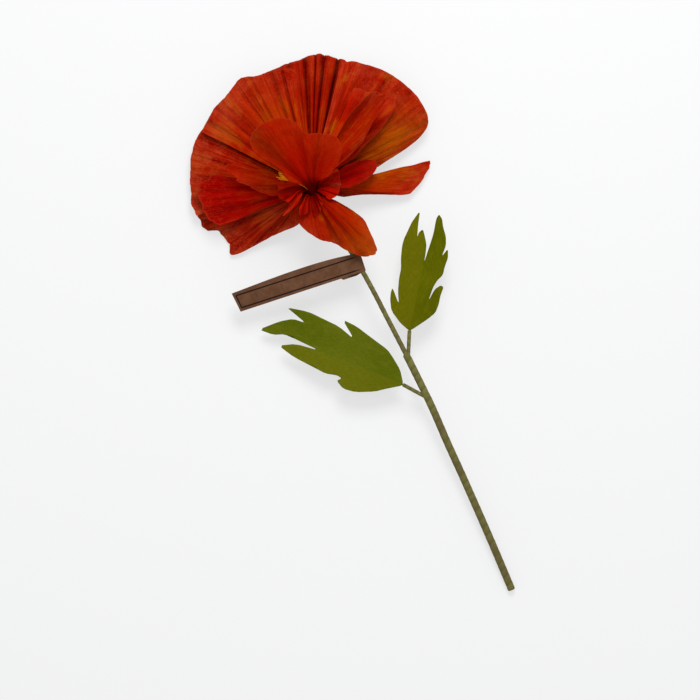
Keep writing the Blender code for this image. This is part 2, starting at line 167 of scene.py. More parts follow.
def pale_floor(height):
    """A wide flat square that looks white to the camera but still takes the flower's shadow."""
    mesh = bpy.data.meshes.new("floor")
    corners = [(x * FLOOR_HALF, y * FLOOR_HALF, height) for x, y in ((-1, -1), (1, -1), (1, 1), (-1, 1))]
    mesh.from_pydata(corners, [], [(0, 1, 2, 3)])
    floor = bpy.data.objects.new("floor", mesh)
    scene.collection.objects.link(floor)
    paint = bpy.data.materials.new("floor")
    paint.use_nodes = True
    tree = paint.node_tree
    tree.nodes.clear()
    matt = node(tree, "ShaderNodeBsdfDiffuse", Color=FLOOR_COLOUR)
    glow = node(tree, "ShaderNodeEmission", Color=(1, 1, 1, 1), Strength=1.0)
    path = node(tree, "ShaderNodeLightPath")
    seen = maths(tree, "MAXIMUM", path.outputs["Is Camera Ray"], path.outputs["Is Glossy Ray"])
    share = maths(tree, "MULTIPLY", seen, FLOOR_GLOW)
    mix = node(tree, "ShaderNodeMixShader", _0=share, _1=matt.outputs[0], _2=glow.outputs[0])
    node(tree, "ShaderNodeOutputMaterial", Surface=mix.outputs[0])
    mesh.materials.append(paint)


LOWEST = CAD_BOX[0][2]
pale_floor(LOWEST - FLOOR_DROP)
print("floor at", round(LOWEST / MM, 2), "mm")


# %% Lamp and sky
LAMP_PLACE = (0.45, 1.05, 1.15)
LAMP_TARGET = (-0.02, 0.3, 0.02)
LAMP_SIZE = 0.6
LAMP_POWER = 13.0
SKY_COLOUR = (0.96, 0.98, 1.0, 1)
SKY_STRENGTH = 0.55


def soft_lamp(name, place, target, size, power):
    """A square lamp of the given size that faces the target."""
    lamp = bpy.data.lights.new(name, "AREA")
    lamp.size = size
    lamp.energy = power
    made = bpy.data.objects.new(name, lamp)
    scene.collection.objects.link(made)
    made.location = place
    made.rotation_euler = (Vector(target) - Vector(place)).to_track_quat("-Z", "Y").to_euler()


soft_lamp("key_lamp", LAMP_PLACE, LAMP_TARGET, LAMP_SIZE, LAMP_POWER)
world = bpy.data.worlds.new("sky")
scene.world = world
world.use_nodes = True
sky = world.node_tree.nodes["Background"]
sky.inputs["Color"].default_value = SKY_COLOUR
sky.inputs["Strength"].default_value = SKY_STRENGTH
print("lamp power in watts:", LAMP_POWER)

# %% [markdown]
# ## Sheets as functions of two numbers
# Every new piece is a grid of points: rows along the paper, columns across it. One helper turns such a grid
# into a mesh, with a UV map that keeps the two numbers, so that a material can run its streaks along the
# paper. Solidify then gives the sheet its thickness. Shading is smooth, but a cut edge of paper is sharp, so
# the edges on the outline of an open sheet are marked as sharp.


# %% Grid helpers
def give_thickness(piece, thickness, offset=0.0):
    """A Solidify modifier: the wall grows to both sides of the surface, or inwards at an offset of -1."""
    solid = piece.modifiers.new("thickness", "SOLIDIFY")
    solid.thickness = thickness
    solid.offset = offset


def mark_cut_edges(mesh, rows, columns):
    """Make the edges on the outline of the grid sharp, so that the paper's cut edge isn't shaded round."""
    ends = np.empty(2 * len(mesh.edges), np.int32)
    mesh.edges.foreach_get("vertices", ends)
    row, column = np.divmod(ends.reshape(-1, 2), columns)
    sides = ((row, 0), (row, rows - 1), (column, 0), (column, columns - 1))
    cut = np.any([(line == side).all(1) for line, side in sides], axis=0)
    mesh.attributes.new("sharp_edge", "BOOLEAN", "EDGE").data.foreach_set("value", cut)


def grid_sheet(name, points, u, v, thickness=0.0, closed=False, marks=None):
    """Rows and columns of points joined by quads. u and v go to the UV map. Marks are values per point."""
    rows, columns = points.shape[:2]
    index = np.arange(rows * columns).reshape(rows, columns)
    if closed:
        index = np.concatenate([index, index[:, :1]], 1)
    quads = np.stack([index[:-1, :-1], index[:-1, 1:], index[1:, 1:], index[1:, :-1]], -1).reshape(-1, 4)
    mesh = bpy.data.meshes.new(name)
    mesh.from_pydata(points.reshape(-1, 3).tolist(), [], quads.tolist())
    layer = mesh.uv_layers.new(name="UVMap")
    across = np.broadcast_to(u, (rows, columns))
    along = np.broadcast_to(v, (rows, columns))
    if closed:
        wide = across[:, -1:] + (across[:, -1:] - across[:, -2:-1])
        across = np.concatenate([across, wide], 1)
        along = np.concatenate([along, along[:, :1]], 1)
    pair = np.stack([across, along], -1)
    corner = np.stack([pair[:-1, :-1], pair[:-1, 1:], pair[1:, 1:], pair[1:, :-1]], -2)
    layer.data.foreach_set("uv", corner.reshape(-1).astype(np.float32))
    for mark, value in (marks or {}).items():
        value = np.broadcast_to(value, (rows, columns)).reshape(-1).astype(np.float32)
        mesh.attributes.new(mark, "FLOAT", "POINT").data.foreach_set("value", value)
    mesh.shade_smooth()
    if not closed:
        mark_cut_edges(mesh, rows, columns)
    piece = bpy.data.objects.new(name, mesh)
    scene.collection.objects.link(piece)
    if thickness:
        give_thickness(piece, thickness)
    return piece


def dress(piece, material, slot, *nodes):
    """Give a new piece its material, let it stand for its CAD nodes, and tie it to the body. The slot is not
    used.
    """
    piece.data.materials.append(material)
    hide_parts(*nodes)
    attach(piece, "root")


# %% Smooth curve
def smooth_path(knots, count):
    """A Catmull-Rom curve through the knots: each stretch is a cubic fixed by its four nearest knots."""
    knots = np.array(knots, float)
    padded = np.vstack([2 * knots[0] - knots[1], knots, 2 * knots[-1] - knots[-2]])
    place_on = np.linspace(0, len(knots) - 1, count)
    first = np.minimum(place_on.astype(int), len(knots) - 2)
    t = (place_on - first)[:, None]
    a, b, c, d = (padded[first + k] for k in range(4))
    return 0.5 * (2 * b + (c - a) * t + (2 * a - 5 * b + 4 * c - d) * t**2 + (3 * b - a - 3 * c + d) * t**3)


# %% [markdown]
# ## The gathered petals
# On the real flower each petal is a sheet of crepe paper, gathered at its base round the wire and bound. It
# leaves the neck along the bloom's axis, bends over, and its folds open toward the rim. So each petal is a
# fan of curved rays: a cubic curve from a ring round the neck to the rim, pushed up and down by folds of
# uneven width. The rings and handles are the CAD solids' own values, and the rims are too, apart from a few
# that follow the real paper by some millimetres more, so each sheet lies where its solid is.
#
# Cloth simulation could gather a flat sheet too, but its folds fall where chance puts them. Here the deepest
# valleys have to lie where the real flower has them.

# %% Where the bloom is
TABLE = -2.7
NECK = np.array([-14.5, 353.0, 38.5])
BLOOM_TILT = math.radians(34.0)
AXIS = np.array([0, math.cos(BLOOM_TILT), math.sin(BLOOM_TILT)])
FRONT = np.array([0, -math.sin(BLOOM_TILT), math.cos(BLOOM_TILT)])
RIGHT = np.array([1.0, 0, 0])
RING_START = 3.4
RING_STEP = 0.8
PETAL_TUCK = 8.0
GATHER = NECK + AXIS * 5.5
CREPE = 0.16 * MM
RESTING = 0.3
print("petals gather at", GATHER.round(1).tolist())


def to_frame(points):
    """Millimetres above the table to metres in the frame."""
    return (points + np.array([0, 0, TABLE])) * MM


def spokes(turn):
    """Unit vectors out from the bloom's axis: turn 0 faces up and forward, a quarter turn faces right."""
    return np.multiply.outer(np.cos(turn), FRONT) + np.multiply.outer(np.sin(turn), RIGHT)


# %% [markdown]
# ## The shape of each petal
# Each entry says which ring round the neck the petal leaves, the first and last angle on that ring, the
# lengths of the ray's two handles and its slope at the rim, the number of pleats and their depth in
# millimetres. Then comes the rim: direction in degrees, reach from the gather and height above the table.

# %% Petal sizes
PETALS = {
    "petal_back_top": (3, 128, 182, 9, 45, -12, 13, 2.6, (
        (42, 98, 5), (50, 106, 4), (55, 108, 4), (62, 109, 3), (68, 107, 3), (76, 104, 4), (88, 100, 5))),
    "petal_back_upper_left": (2, 164, 220, 14, 45, -8, 14, 1.8, (
        (74, 97, 14), (80, 101, 14), (89, 102, 14), (98, 105, 14), (104, 103, 14), (115, 101, 14),
        (128, 100, 14))),
    "petal_back_left": (3, 206, 260, 10.5, 45, -6, 13, 1.6, (
        (120, 99, 11), (127, 101, 10), (138, 101, 9), (151, 98, 9), (160, 98, 10), (168, 95, 12))),
    "petal_back_lower_left": (4, 248, 300, 9.5, 28, -10, 12, 1.6, (
        (163, 95, 2), (170, 93, 2), (176, 90, 2), (180, 81, 2), (189, 81, 2), (195, 82, 3), (202, 57, 8),
        (211, 41, 14), (225, 30, 20))),
    "petal_back_right": (2, 111, 158, 12, 45, -8, 13, 1.8, (
        (-5, 56, 14), (-3, 66, 13), (-1, 82, 12), (2, 98, 12), (7, 109, 12), (17, 112, 12), (27, 112, 12),
        (34, 112, 12), (41, 110, 13), (47, 109, 14), (53, 104, 14))),
    "petal_right_long": (3, 80, 106, 4.5, 26, -6, 4, 1.0, (
        (-37, 25, 24), (-32, 35, 20), (-29, 49, 16), (-27.5, 66, 11), (-26.5, 77, 9), (-22, 84, 7),
        (-17, 91, 5), (-13, 95, 4), (-10, 97, 4))),
    "petal_lower": (4, -44, 40, 6, 16, -4, 8, 1.2, (
        (-138, 28, 38), (-114, 36, 38), (-103, 42, 38), (-93, 46, 38), (-85, 57, 38), (-77, 69, 38),
        (-70, 74, 38), (-67, 71, 38), (-61, 58, 38), (-54, 46, 38), (-51, 28, 39))),
    "petal_inner_front": (0, 66, -46, 16, 20, 30, 6, 0.9, (
        (13, 17, 60), (20, 30, 68), (30, 41, 76), (42, 46, 80), (56, 44, 82), (72, 44, 85), (80, 55, 90),
        (90, 62, 94), (100, 63, 95), (109, 64, 95), (118, 61, 94), (124, 52, 90), (126, 41, 82),
        (126, 31, 72), (136.5, 17, 60))),
    "petal_inner_right_tall": (0, 68, 120, 22, 30, 20, 4, 1.0, (
        (15, 40, 55), (22, 66, 54), (26, 90, 52), (30, 92, 52), (35, 87, 54), (39, 70, 58))),
    "petal_inner_right_broad": (1, 82, 140, 15, 36, 8, 5, 1.0, (
        (12, 44, 40), (18, 76, 32), (22, 97, 28), (28, 96, 28), (36, 90, 30), (44, 86, 32))),
    "petal_inner_right_low": (2, 70, 102, 7.5, 18, 0, 4, 0.9, (
        (-22, 30, 38), (-9, 51, 30), (0, 56, 28), (5, 46, 34), (10, 32, 40))),
    "petal_inner_left_upper": (1, 230, 268, 13, 22, 0, 6, 1.0, (
        (137, 64, 36), (141, 70, 33), (146, 59, 33), (152, 54, 33), (158, 44, 36), (164, 32, 39))),
    "petal_inner_left_lower": (2, 230, 286, 11.5, 34, -4, 7, 1.0, (
        (147, 80, 20), (152, 89, 18), (156, 90, 18), (163, 88, 18), (172, 84, 18), (177, 80, 19))),
    "collar_left": (0, 244, 288, 18, 7, -6, 4, 1.2, (
        (143, 28, 48), (158, 27, 48), (171, 28, 47), (184, 22, 47), (193, 21, 46), (199, 31, 43),
        (202, 17, 45))),
    "collar_front": (1, -60, 8, 10, 6, -20, 4, 1.6, (
        (209, 16, 51), (222, 23, 48), (237, 20, 46), (256, 22, 46), (268, 19, 47), (281, 15, 48),
        (289, 12, 50))),
    "collar_right": (1, 16, 78, 13, 6, -5, 4, 1.4, (
        (-54, 17, 47), (-40, 20, 47), (-26, 22, 47), (-4, 24, 47), (12, 26, 47), (18, 22, 47))),
}
print("petal sheets:", len(PETALS))

# %% [markdown]
# ## Folds
# Gathered crepe paper has wide soft panels with narrow, deep valleys between them, and no two are alike. A
# sine wave would look like corrugated card, so each valley is a tent of its own place, width, depth and
# length. The deepest ones have a given place across the petal, from 0 to 1, and a given depth.

# %% Fold values
PANEL_WAVES = ((0.23, 0.30), (0.41, 0.32), (0.77, 0.20))
VALLEYS_FOR_EACH_PLEAT = 1.9
VALLEY_DEPTH = 1.5
FACET_WAVES = 5
FACET_LENGTHS = (9, 30)
CREASE_WAVES = (2.3, 3.7, 5.1)
EDGE_STEPS = 14
EDGE_WANDER = 40
EDGE_FADE = 0.06
DEEP_VALLEY_WIDTH = 0.25
DEEP_VALLEY_STEEP_SIDE = 0.12
DEEP_VALLEYS = {
    "petal_back_top": ((0.31, 1.5), (0.47, 1.3), (0.57, 0.8), (0.70, 0.6), (0.83, 1.3)),
    "petal_back_upper_left": ((0.15, 0.8), (0.25, 0.6), (0.49, 0.7), (0.75, 0.6), (0.91, 0.8)),
    "petal_back_left": ((0.10, 0.4), (0.27, 0.7), (0.35, 0.8), (0.42, 0.6)),
    "petal_back_right": ((0.35, 0.5), (0.54, 0.6), (0.83, 0.6), (0.90, 0.8)),
    "petal_inner_front": ((0.28, 0.4), (0.44, 0.4), (0.60, 0.3)),
    "petal_lower": ((0.30, 0.5), (0.52, 0.6), (0.70, 0.4)),
    "collar_left": ((0.18, 0.8), (0.40, 1.0), (0.58, 1.2), (0.76, 0.9)),
    "collar_front": ((0.20, 0.9), (0.38, 1.3), (0.56, 0.9), (0.72, 1.2), (0.88, 0.7)),
    "collar_right": ((0.22, 1.0), (0.48, 0.8), (0.70, 1.1)),
}
print("valleys with a place of their own:", sum(len(valleys) for valleys in DEEP_VALLEYS.values()))


# %% Fold shapes
def folds(across, along, pleats, rng, deepest):
    """Wide soft panels between narrow valleys. Each valley has its own place, width, depth and length:
    it falls off like a tent, often steeper on one side, and it fades out past its own end."""
    x = across[None, :] + 0.01 * np.sin(3.0 * along[:, None] + 9.0 * across[None, :])
    panels = sum(
        np.sin(2 * math.pi * (x * pleats * share + rng.uniform(0, 1))) * size
        for share, size in PANEL_WAVES)
    count = int(pleats * VALLEYS_FOR_EACH_PLEAT)
    place = (np.arange(count) + rng.uniform(0.0, 1.0, count)) / count
    width = rng.uniform(0.06, 0.30, count) / pleats
    deep = rng.uniform(0.15, 0.9, count) ** 1.6
    stop = rng.uniform(0.35, 1.6, count)
    other = width * rng.choice([0.4, 1.0, 2.2], count)
    for spot, depth in deepest:
        place = np.append(place, spot)
        deep = np.append(deep, depth)
        stop = np.append(stop, 1.5)
        width = np.append(width, DEEP_VALLEY_WIDTH / pleats)
        other = np.append(other, DEEP_VALLEY_STEEP_SIDE / pleats)
    valley = np.zeros((len(along), len(across)))
    for k in range(len(place)):
        away = x - place[k]
        tent = np.exp(-np.where(away > 0, away / width[k], -away / other[k]))
        fade = 1 / (1 + np.exp((along[:, None] - stop[k]) * 12))
        valley += deep[k] * fade * tent
    return panels + 0.35 - VALLEY_DEPTH * valley


def crumple(points, rng):
    """Flat facets with creases between them: triangle waves that cross the sheet in random directions."""
    total = np.zeros(points.shape[:2])
    headings = rng.uniform(0, math.pi, FACET_WAVES)
    waves = rng.uniform(*FACET_LENGTHS, FACET_WAVES)
    starts = rng.uniform(0, 2, FACET_WAVES)
    for heading, wave, start in zip(headings, waves, starts):
        run = points[..., 0] * math.cos(heading) + points[..., 1] * math.sin(heading)
        bent = run / wave + 0.3 * np.sin(points[..., 0] / 17 + start) * np.cos(points[..., 1] / 23)
        total += (np.abs((bent + start) % 2 - 1) - 0.5) * wave / FACET_LENGTHS[1]
    return total


def fine_creases(across, t, pleats, rng):
    """The mean of three sine waves, each finer than the folds, which drift sideways toward the rim."""
    return sum(
        np.sin(2 * math.pi * (across * pleats * share + rng.uniform(0, 1) + 0.5 * t * rng.normal()))
        for share in CREASE_WAVES) / len(CREASE_WAVES)


def edge_shift(across, along, wander, rng):
    """How far the long edges wander sideways: random steps that grow outward and fade away from the edge."""
    steps = np.linspace(0, 1, EDGE_STEPS)
    first, last = (
        np.interp(along, steps, rng.normal(0, EDGE_WANDER * wander, EDGE_STEPS)) * along for _ in range(2))
    return first[:, None] * np.exp(-across / EDGE_FADE) + last[:, None] * np.exp((across - 1) / EDGE_FADE)


# %% [markdown]
# ## How each petal is folded
# The outer petals keep deep pleats, the inner ones are smoothed nearly flat, and the collar is crushed.
# Each line gives the strength of the folds, how much of them is left at the rim, the depth of the crumples in
# millimetres, and how far the rim wanders as a share of its reach. Some petals have one long edge turned over
# on top of the sheet: which edge, and how many columns of the grid. Soft patches of colour have a place
# across and along the petal, two sizes, and a strength: above 0 it is amber, and below 0 it is pale.

# %% Folding tables
FOLDING = {
    "petal_back_top": (1.0, 0.75, 0.5, 0.006), "petal_back_lower_left": (0.85, 0.5, 1.2, 0.012),
    "petal_back": (0.85, 0.30, 0.7, 0.006), "petal_inner_left_upper": (0.6, 0.6, 1.0, 0.035),
    "petal_inner_left": (0.5, 0.5, 1.0, 0.012), "petal_inner_front": (0.24, 0.3, 1.2, 0.011),
    "petal_inner": (0.45, 0.4, 1.3, 0.018), "collar": (1.3, 0.9, 0.4, 0.018),
    "petal_lower": (0.8, 0.4, 1.0, 0.02), "petal": (0.8, 0.4, 0.8, 0.008),
}

TURNED_EDGES = {"petal_back_right": (1, 13), "petal_right_long": (0, 6), "petal_inner_front": (1, 9)}

# The pale patches of petal_back_right at its turned edge and of collar_right at its rim are painted highlight.
PATCHES = {
    "petal_back_right": ((0.36, 0.76, 0.15, 0.22, 0.85), (1.0, 0.7, 0.06, 0.4, -0.45)),
    "petal_back_upper_left": ((0.45, 0.6, 0.3, 0.25, 0.3),),
    "petal_back_lower_left": ((0.52, 0.55, 0.25, 0.2, -0.4),),
    "petal_lower": ((0.6, 0.95, 0.25, 0.3, 0.5),),
    "petal_right_long": ((0.8, 0.6, 0.3, 0.3, 0.3), (0.4, 1.0, 0.4, 0.1, -0.5)),
    "petal_inner_front": ((0.75, 0.9, 0.35, 0.35, 0.18), (0.15, 0.9, 0.2, 0.3, 0.12)),
    "collar_right": ((0.50, 0.95, 0.035, 0.25, -0.8),),
    "collar_left": ((0.86, 0.85, 0.06, 0.3, -0.5),),
}
print("petals with a turned edge:", ", ".join(TURNED_EDGES))


# %% Rays and turned edges
RIM_POINTS = 400
RIM_STEPS = ((9, 1.0), (21, 0.5), (53, 0.2))


def turn_edge(sheet, edge, count):
    """Repeat the outermost columns in reverse order beyond the edge, which lays them back over the sheet."""
    if edge:
        return np.concatenate([sheet, sheet[:, -2:-2 - count:-1]], 1)
    return np.concatenate([sheet[:, count:0:-1], sheet], 1)


def ray_fan(ring, first, last, lead, trail, slope, rim, wander, across, along, rng):
    """Cubic rays from the neck ring along the axis, bending over to the rim; rows along, columns across."""
    azimuth = np.radians(first + (last - first) * across)
    base = NECK + spokes(azimuth) * (RING_START + RING_STEP * ring)
    dense = smooth_path(rim, RIM_POINTS)
    reach = np.stack([np.interp(across, np.linspace(0, 1, RIM_POINTS), dense[:, k]) for k in range(3)], 1)
    for knots, share in RIM_STEPS:
        reach[:, 1] *= 1 + np.interp(across, np.linspace(0, 1, knots), rng.normal(0, wander * share, knots))
    heading = np.radians(reach[:, 0])
    outward = np.stack([np.cos(heading), np.sin(heading), np.zeros_like(heading)], 1)
    end = GATHER + outward * reach[:, 1:2]
    end[:, 2] = reach[:, 2]
    rise = math.radians(slope)
    arrive = outward * math.cos(rise) + np.array([0, 0, math.sin(rise)])
    lead_out = base + AXIS * lead
    last_pull = end - arrive * np.minimum(trail, 0.6 * reach[:, 1:2])
    t = along[:, None, None]
    fan = (1 - t)**3 * base + 3 * (1 - t)**2 * t * lead_out + 3 * (1 - t) * t**2 * last_pull + t**3 * end
    return base, fan


def patch_of(name, at, length):
    """The sum of the petal's soft patches: each is a bell curve across the petal times one along it."""
    patch = np.zeros(np.broadcast_shapes(at.shape, length.shape))
    for middle, out_at, wide, tall, amount in PATCHES.get(name, ()):
        patch += amount * np.exp(-((at - middle) / wide) ** 2 - ((length - out_at) / tall) ** 2)
    return patch


# %% One petal
PETAL_ROWS = 54
COLLAR_ROWS = 26
COLUMNS_FOR_EACH_PLEAT = 15
CREASE_DEPTH = 0.14
SWAY_DEPTH = 0.8
TUCK_MARK = -0.06
TURN_GAP = 0.3
TURN_RISE = 1.0
# fold mark of turned edges: it gives them the crests' painted highlight
TURNED_EDGE_HIGHLIGHT = 0.8


def petal_sheet(name, values, seed):
    """One petal: the ray fan, pushed along its normal by folds that grow outward and by fine creases."""
    ring, first, last, lead, trail, slope, pleats, depth, rim = values
    rng = np.random.default_rng(seed)
    rows = COLLAR_ROWS if name.startswith("collar") else PETAL_ROWS
    across = np.linspace(0, 1, COLUMNS_FOR_EACH_PLEAT * pleats + 1)
    along = np.linspace(0, 1, rows) ** 1.1
    strength, left_over, crumpled, wander = next(
        value for start, value in FOLDING.items() if name.startswith(start))
    base, fan = ray_fan(ring, first, last, lead, trail, slope, rim, wander, across, along, rng)
    side = np.gradient(fan, axis=1)
    out = np.gradient(fan, axis=0)
    normal = np.cross(out, side)
    normal /= np.linalg.norm(normal, axis=2, keepdims=True) + 1e-9
    sideways = side / (np.linalg.norm(side, axis=2, keepdims=True) + 1e-9)
    t = along[:, None]
    growth = t**1.2 * (1.3 - (1.3 - left_over) * t**4)
    fold = folds(across, along, pleats, rng, DEEP_VALLEYS.get(name, ()))
    creases = fine_creases(across[None, :], t, pleats, rng)
    sway = np.sin(2 * math.pi * (0.9 * across[None, :] + 0.5 * t + rng.uniform(0, 1))) * t**2
    push = depth * growth * strength * fold + CREASE_DEPTH * t * creases + SWAY_DEPTH * sway
    push += crumpled * t**0.7 * crumple(fan, rng)
    shift = edge_shift(across, along, wander, rng)
    fan = fan + normal * push[..., None] + sideways * shift[..., None]
    fan[..., 2] = np.maximum(fan[..., 2], RESTING)
    points = np.concatenate([(base - AXIS * PETAL_TUCK)[None], fan], 0)
    fold = np.concatenate([fold[:1], fold], 0)
    length = np.concatenate([[TUCK_MARK], along])[:, None]
    run = across[None, :] * abs(last - first) / 360 * 2.0 + 0.37 * seed
    at = across[None, :]
    if name in TURNED_EDGES:
        edge, count = TURNED_EDGES[name]
        points, fold, run, at = (turn_edge(sheet, edge, count) for sheet in (points, fold, run, at))
        turned = np.s_[:, -count:] if edge else np.s_[:, :count]
        points[turned][..., 2] += TURN_GAP + TURN_RISE * np.maximum(length, 0)
        # the turned columns get a high fold mark, so the material paints them with the crests' highlight
        fold[turned] = TURNED_EDGE_HIGHLIGHT
    # core is the distance from the gather, for the painted shade in the heart of the flower
    core = np.hypot(points[..., 0] - GATHER[0], points[..., 1] - GATHER[1])
    marks = {"fold": fold, "reach": length, "patch": patch_of(name, at, length), "core": core}
    return grid_sheet(name + "_paper", to_frame(points), run, length, CREPE, marks=marks)


# %% [markdown]
# ## Crepe paper
# The paper of the petals is dyed unevenly, with a few orange streaks along the grain and a dusty, pale,
# crinkled rim. On top of the dye, shade is painted: deep red in the folds, darker at the foot and nearly
# black in the heart, with a painted highlight of orange-red on the crests. All of these follow the paper, so
# the material reads the petal's own UV map, and the marks that say how deep a fold is, how far out a point
# lies and how near the dark heart of the flower it is. One node group makes the streaks and crinkles,
# because petals, leaves, stem strips and the tag all need them.


# %% Crinkle group
def crinkle_group():
    """Fibres and crinkles of thin paper. Streaks and fibres are noise stretched along V. Creases are thin
    lines where a noise in object space crosses its middle value, and blotches are a coarser noise there."""
    group = bpy.data.node_groups.new("paper_crinkle", "ShaderNodeTree")
    face = group.interface
    for name, value in (("Streaks", 60.0), ("Crinkle Scale", 260.0), ("Stretch", 2.0)):
        socket = face.new_socket(name, in_out="INPUT", socket_type="NodeSocketFloat")
        socket.default_value = value
    for name in ("Streak", "Fibre", "Crease", "Blotch", "Height"):
        face.new_socket(name, in_out="OUTPUT", socket_type="NodeSocketFloat")
    inside = node(group, "NodeGroupInput")
    uv = node(group, "ShaderNodeUVMap", set_uv_map="UVMap")
    place = node(group, "ShaderNodeTexCoord").outputs["Object"]
    split = node(group, "ShaderNodeSeparateXYZ", Vector=uv.outputs[0])
    wide = maths(group, "MULTIPLY", split.outputs[0], inside.outputs["Streaks"])
    long = maths(group, "MULTIPLY", split.outputs[1], inside.outputs["Stretch"])
    grain = node(group, "ShaderNodeCombineXYZ", X=wide, Y=long).outputs[0]
    streak = node(group, "ShaderNodeTexNoise", Vector=grain, Scale=1.0, Detail=3.0, Roughness=0.6).outputs[0]
    fine = node(group, "ShaderNodeVectorMath", set_operation="MULTIPLY", _0=grain, _1=(6.0, 3.0, 1.0))
    fibre = node(group, "ShaderNodeTexNoise", Vector=fine.outputs[0], Scale=1.0, Detail=4.0,
                 Roughness=0.7).outputs[0]
    ridge = node(group, "ShaderNodeTexNoise", Vector=place, Scale=inside.outputs["Crinkle Scale"], Detail=2.0,
                 Roughness=0.5, Distortion=1.2).outputs[0]
    away = maths(group, "ABSOLUTE", maths(group, "SUBTRACT", ridge, 0.5))
    crease = ramp(group, away, 0.0, 0.035, 1.0, 0.0)
    half = maths(group, "MULTIPLY", inside.outputs["Crinkle Scale"], 0.22)
    blotch = node(group, "ShaderNodeTexNoise", Vector=place, Scale=half, Detail=5.0,
                  Roughness=0.65).outputs[0]
    height = maths(group, "ADD", maths(group, "MULTIPLY", fibre, 0.5), maths(group, "MULTIPLY", blotch, 0.7))
    height = maths(group, "ADD", height, maths(group, "MULTIPLY", crease, 0.12))
    node(group, "NodeGroupOutput", Streak=streak, Fibre=fibre, Crease=crease, Blotch=blotch, Height=height)
    return group


CRINKLE = crinkle_group()
print("outputs of the crinkle group:", ", ".join(
    item.name for item in CRINKLE.interface.items_tree if item.in_out == "OUTPUT"))


# %% Helpers for paper materials
def use_group(tree, group, **values):
    """Place a node group in a material with its own values."""
    made = tree.nodes.new("ShaderNodeGroup")
    made.node_tree = group
    for name, value in values.items():
        made.inputs[name.replace("_", " ")].default_value = value
    return made


def attribute(tree, name):
    """The value of a named mark on the mesh."""
    return node(tree, "ShaderNodeAttribute", set_attribute_name=name).outputs["Fac"]


def flecked(tree, grain, colour, dull, bright, full=0.7):
    """The colour times a factor that goes from dull to bright with the fibres."""
    fleck = ramp(tree, grain.outputs["Fibre"], 0.3, full, dull, bright)
    return node(tree, "ShaderNodeVectorMath", set_operation="SCALE", _0=colour, Scale=fleck).outputs[0]


def finish_paper(tree, shader, grain, colour, strength, distance):
    """Connect the colour, and raise the surface by the group's height with a bump."""
    tree.links.new(colour, shader.inputs["Base Color"])
    lift = node(tree, "ShaderNodeBump", Strength=strength, Distance=distance, Height=grain.outputs["Height"])
    tree.links.new(lift.outputs[0], shader.inputs["Normal"])


# %% [markdown]
# ## The dye and painted shade of a petal
# The colour is built in layers, each one a blend by a mask from 0 to 1: first the dye, uneven along the
# grain, then a painted highlight on crests and painted shade in valleys, at the foot and in the heart, amber
# streaks, single fibres, and last the pale dusty rim and pale patches, some of which are painted highlight.

# %% Petal colours
# The bright tones also serve as painted highlight on crests, the deep reds and the darkest red are painted
# shade, and the dusty pale colour is also the painted highlight of some pale patches.
AMBER = (0.46, 0.105, 0.0005, 1)
DUST_AND_HIGHLIGHT = (0.55, 0.076, 0.026, 1)
HEART_PAINTED_SHADE = (0.07, 0.0, 0.0)
HEART = (2.5, 13.0)
RED = (0.33, 0.005, 0.0)
RED_BRIGHT_AND_HIGHLIGHT = (0.42, 0.012, 0.0)
RED_PAINTED_SHADE = (0.20, 0.0002, 0.0)
INNER = (0.46, 0.002, 0.0)
INNER_BRIGHT_AND_HIGHLIGHT = (0.53, 0.008, 0.0)
SHADED = (0.28, 0.0, 0.0)
print("dark heart, in mm from the gather:", HEART)


# %% Petal material
def dye_with_painted_shade(tree, mottle, mid, bright_and_highlight, deep):
    """The dye before its streaks: two tones by the mottle, then a painted highlight on crests, painted shade
    in valleys and at the foot, and painted shade nearly black in the heart."""
    fold = attribute(tree, "fold")
    reach = attribute(tree, "reach")
    dye_and_shade = blend_colour(tree, ramp(tree, mottle, 0.34, 0.66), (*mid, 1), (*bright_and_highlight, 1))
    # painted highlight on the crests and painted shade in the valleys, both by the fold mark
    dye_and_shade = blend_colour(tree, ramp(tree, fold, 0.0, 1.0, 0.0, 0.6), dye_and_shade, (*bright_and_highlight, 1))
    dye_and_shade = blend_colour(tree, ramp(tree, fold, -0.9, 0.1, 0.8, 0.0), dye_and_shade, (*deep, 1))
    # painted shade at the foot of each petal and, nearly black, in the heart of the flower
    dye_and_shade = blend_colour(tree, ramp(tree, reach, 0.0, 0.40, 0.8, 0.0), dye_and_shade, (*deep, 1))
    return blend_colour(tree, ramp(tree, attribute(tree, "core"), *HEART, 0.92, 0.0), dye_and_shade, (*HEART_PAINTED_SHADE, 1))


def pale_share(tree, grain, dust):
    """Where the paper is pale: clouds, fibres and creases toward the rim, the cut edge, and pale patches,
    which on back_right's turned edge and collar_right's rim are painted highlight.
    """
    reach = attribute(tree, "reach")
    fibre = grain.outputs["Fibre"]
    clouds = ramp(tree, grain.outputs["Blotch"], 0.36, 0.70)
    outer = maths(tree, "MULTIPLY", ramp(tree, reach, 0.74, 1.0), clouds)
    flecks = maths(tree, "MULTIPLY", ramp(tree, fibre, 0.5, 0.72), ramp(tree, reach, 0.5, 1.0))
    crackle = maths(tree, "MULTIPLY", grain.outputs["Crease"], ramp(tree, reach, 0.55, 1.0, 0.0, 0.8))
    pale = maths(tree, "ADD", maths(tree, "ADD", outer, maths(tree, "MULTIPLY", flecks, 0.5)), crackle)
    pale = maths(tree, "MULTIPLY", pale, dust, clamp=True)
    pale = maths(tree, "MAXIMUM", pale, ramp(tree, reach, 0.984, 0.992, 0.0, 0.2))
    # pale patches: on back_right's turned edge and collar_right's rim they are painted highlight
    patch = maths(tree, "MULTIPLY", attribute(tree, "patch"), ramp(tree, fibre, 0.46, 0.60, -0.25, -1.1))
    return maths(tree, "MAXIMUM", pale, patch)


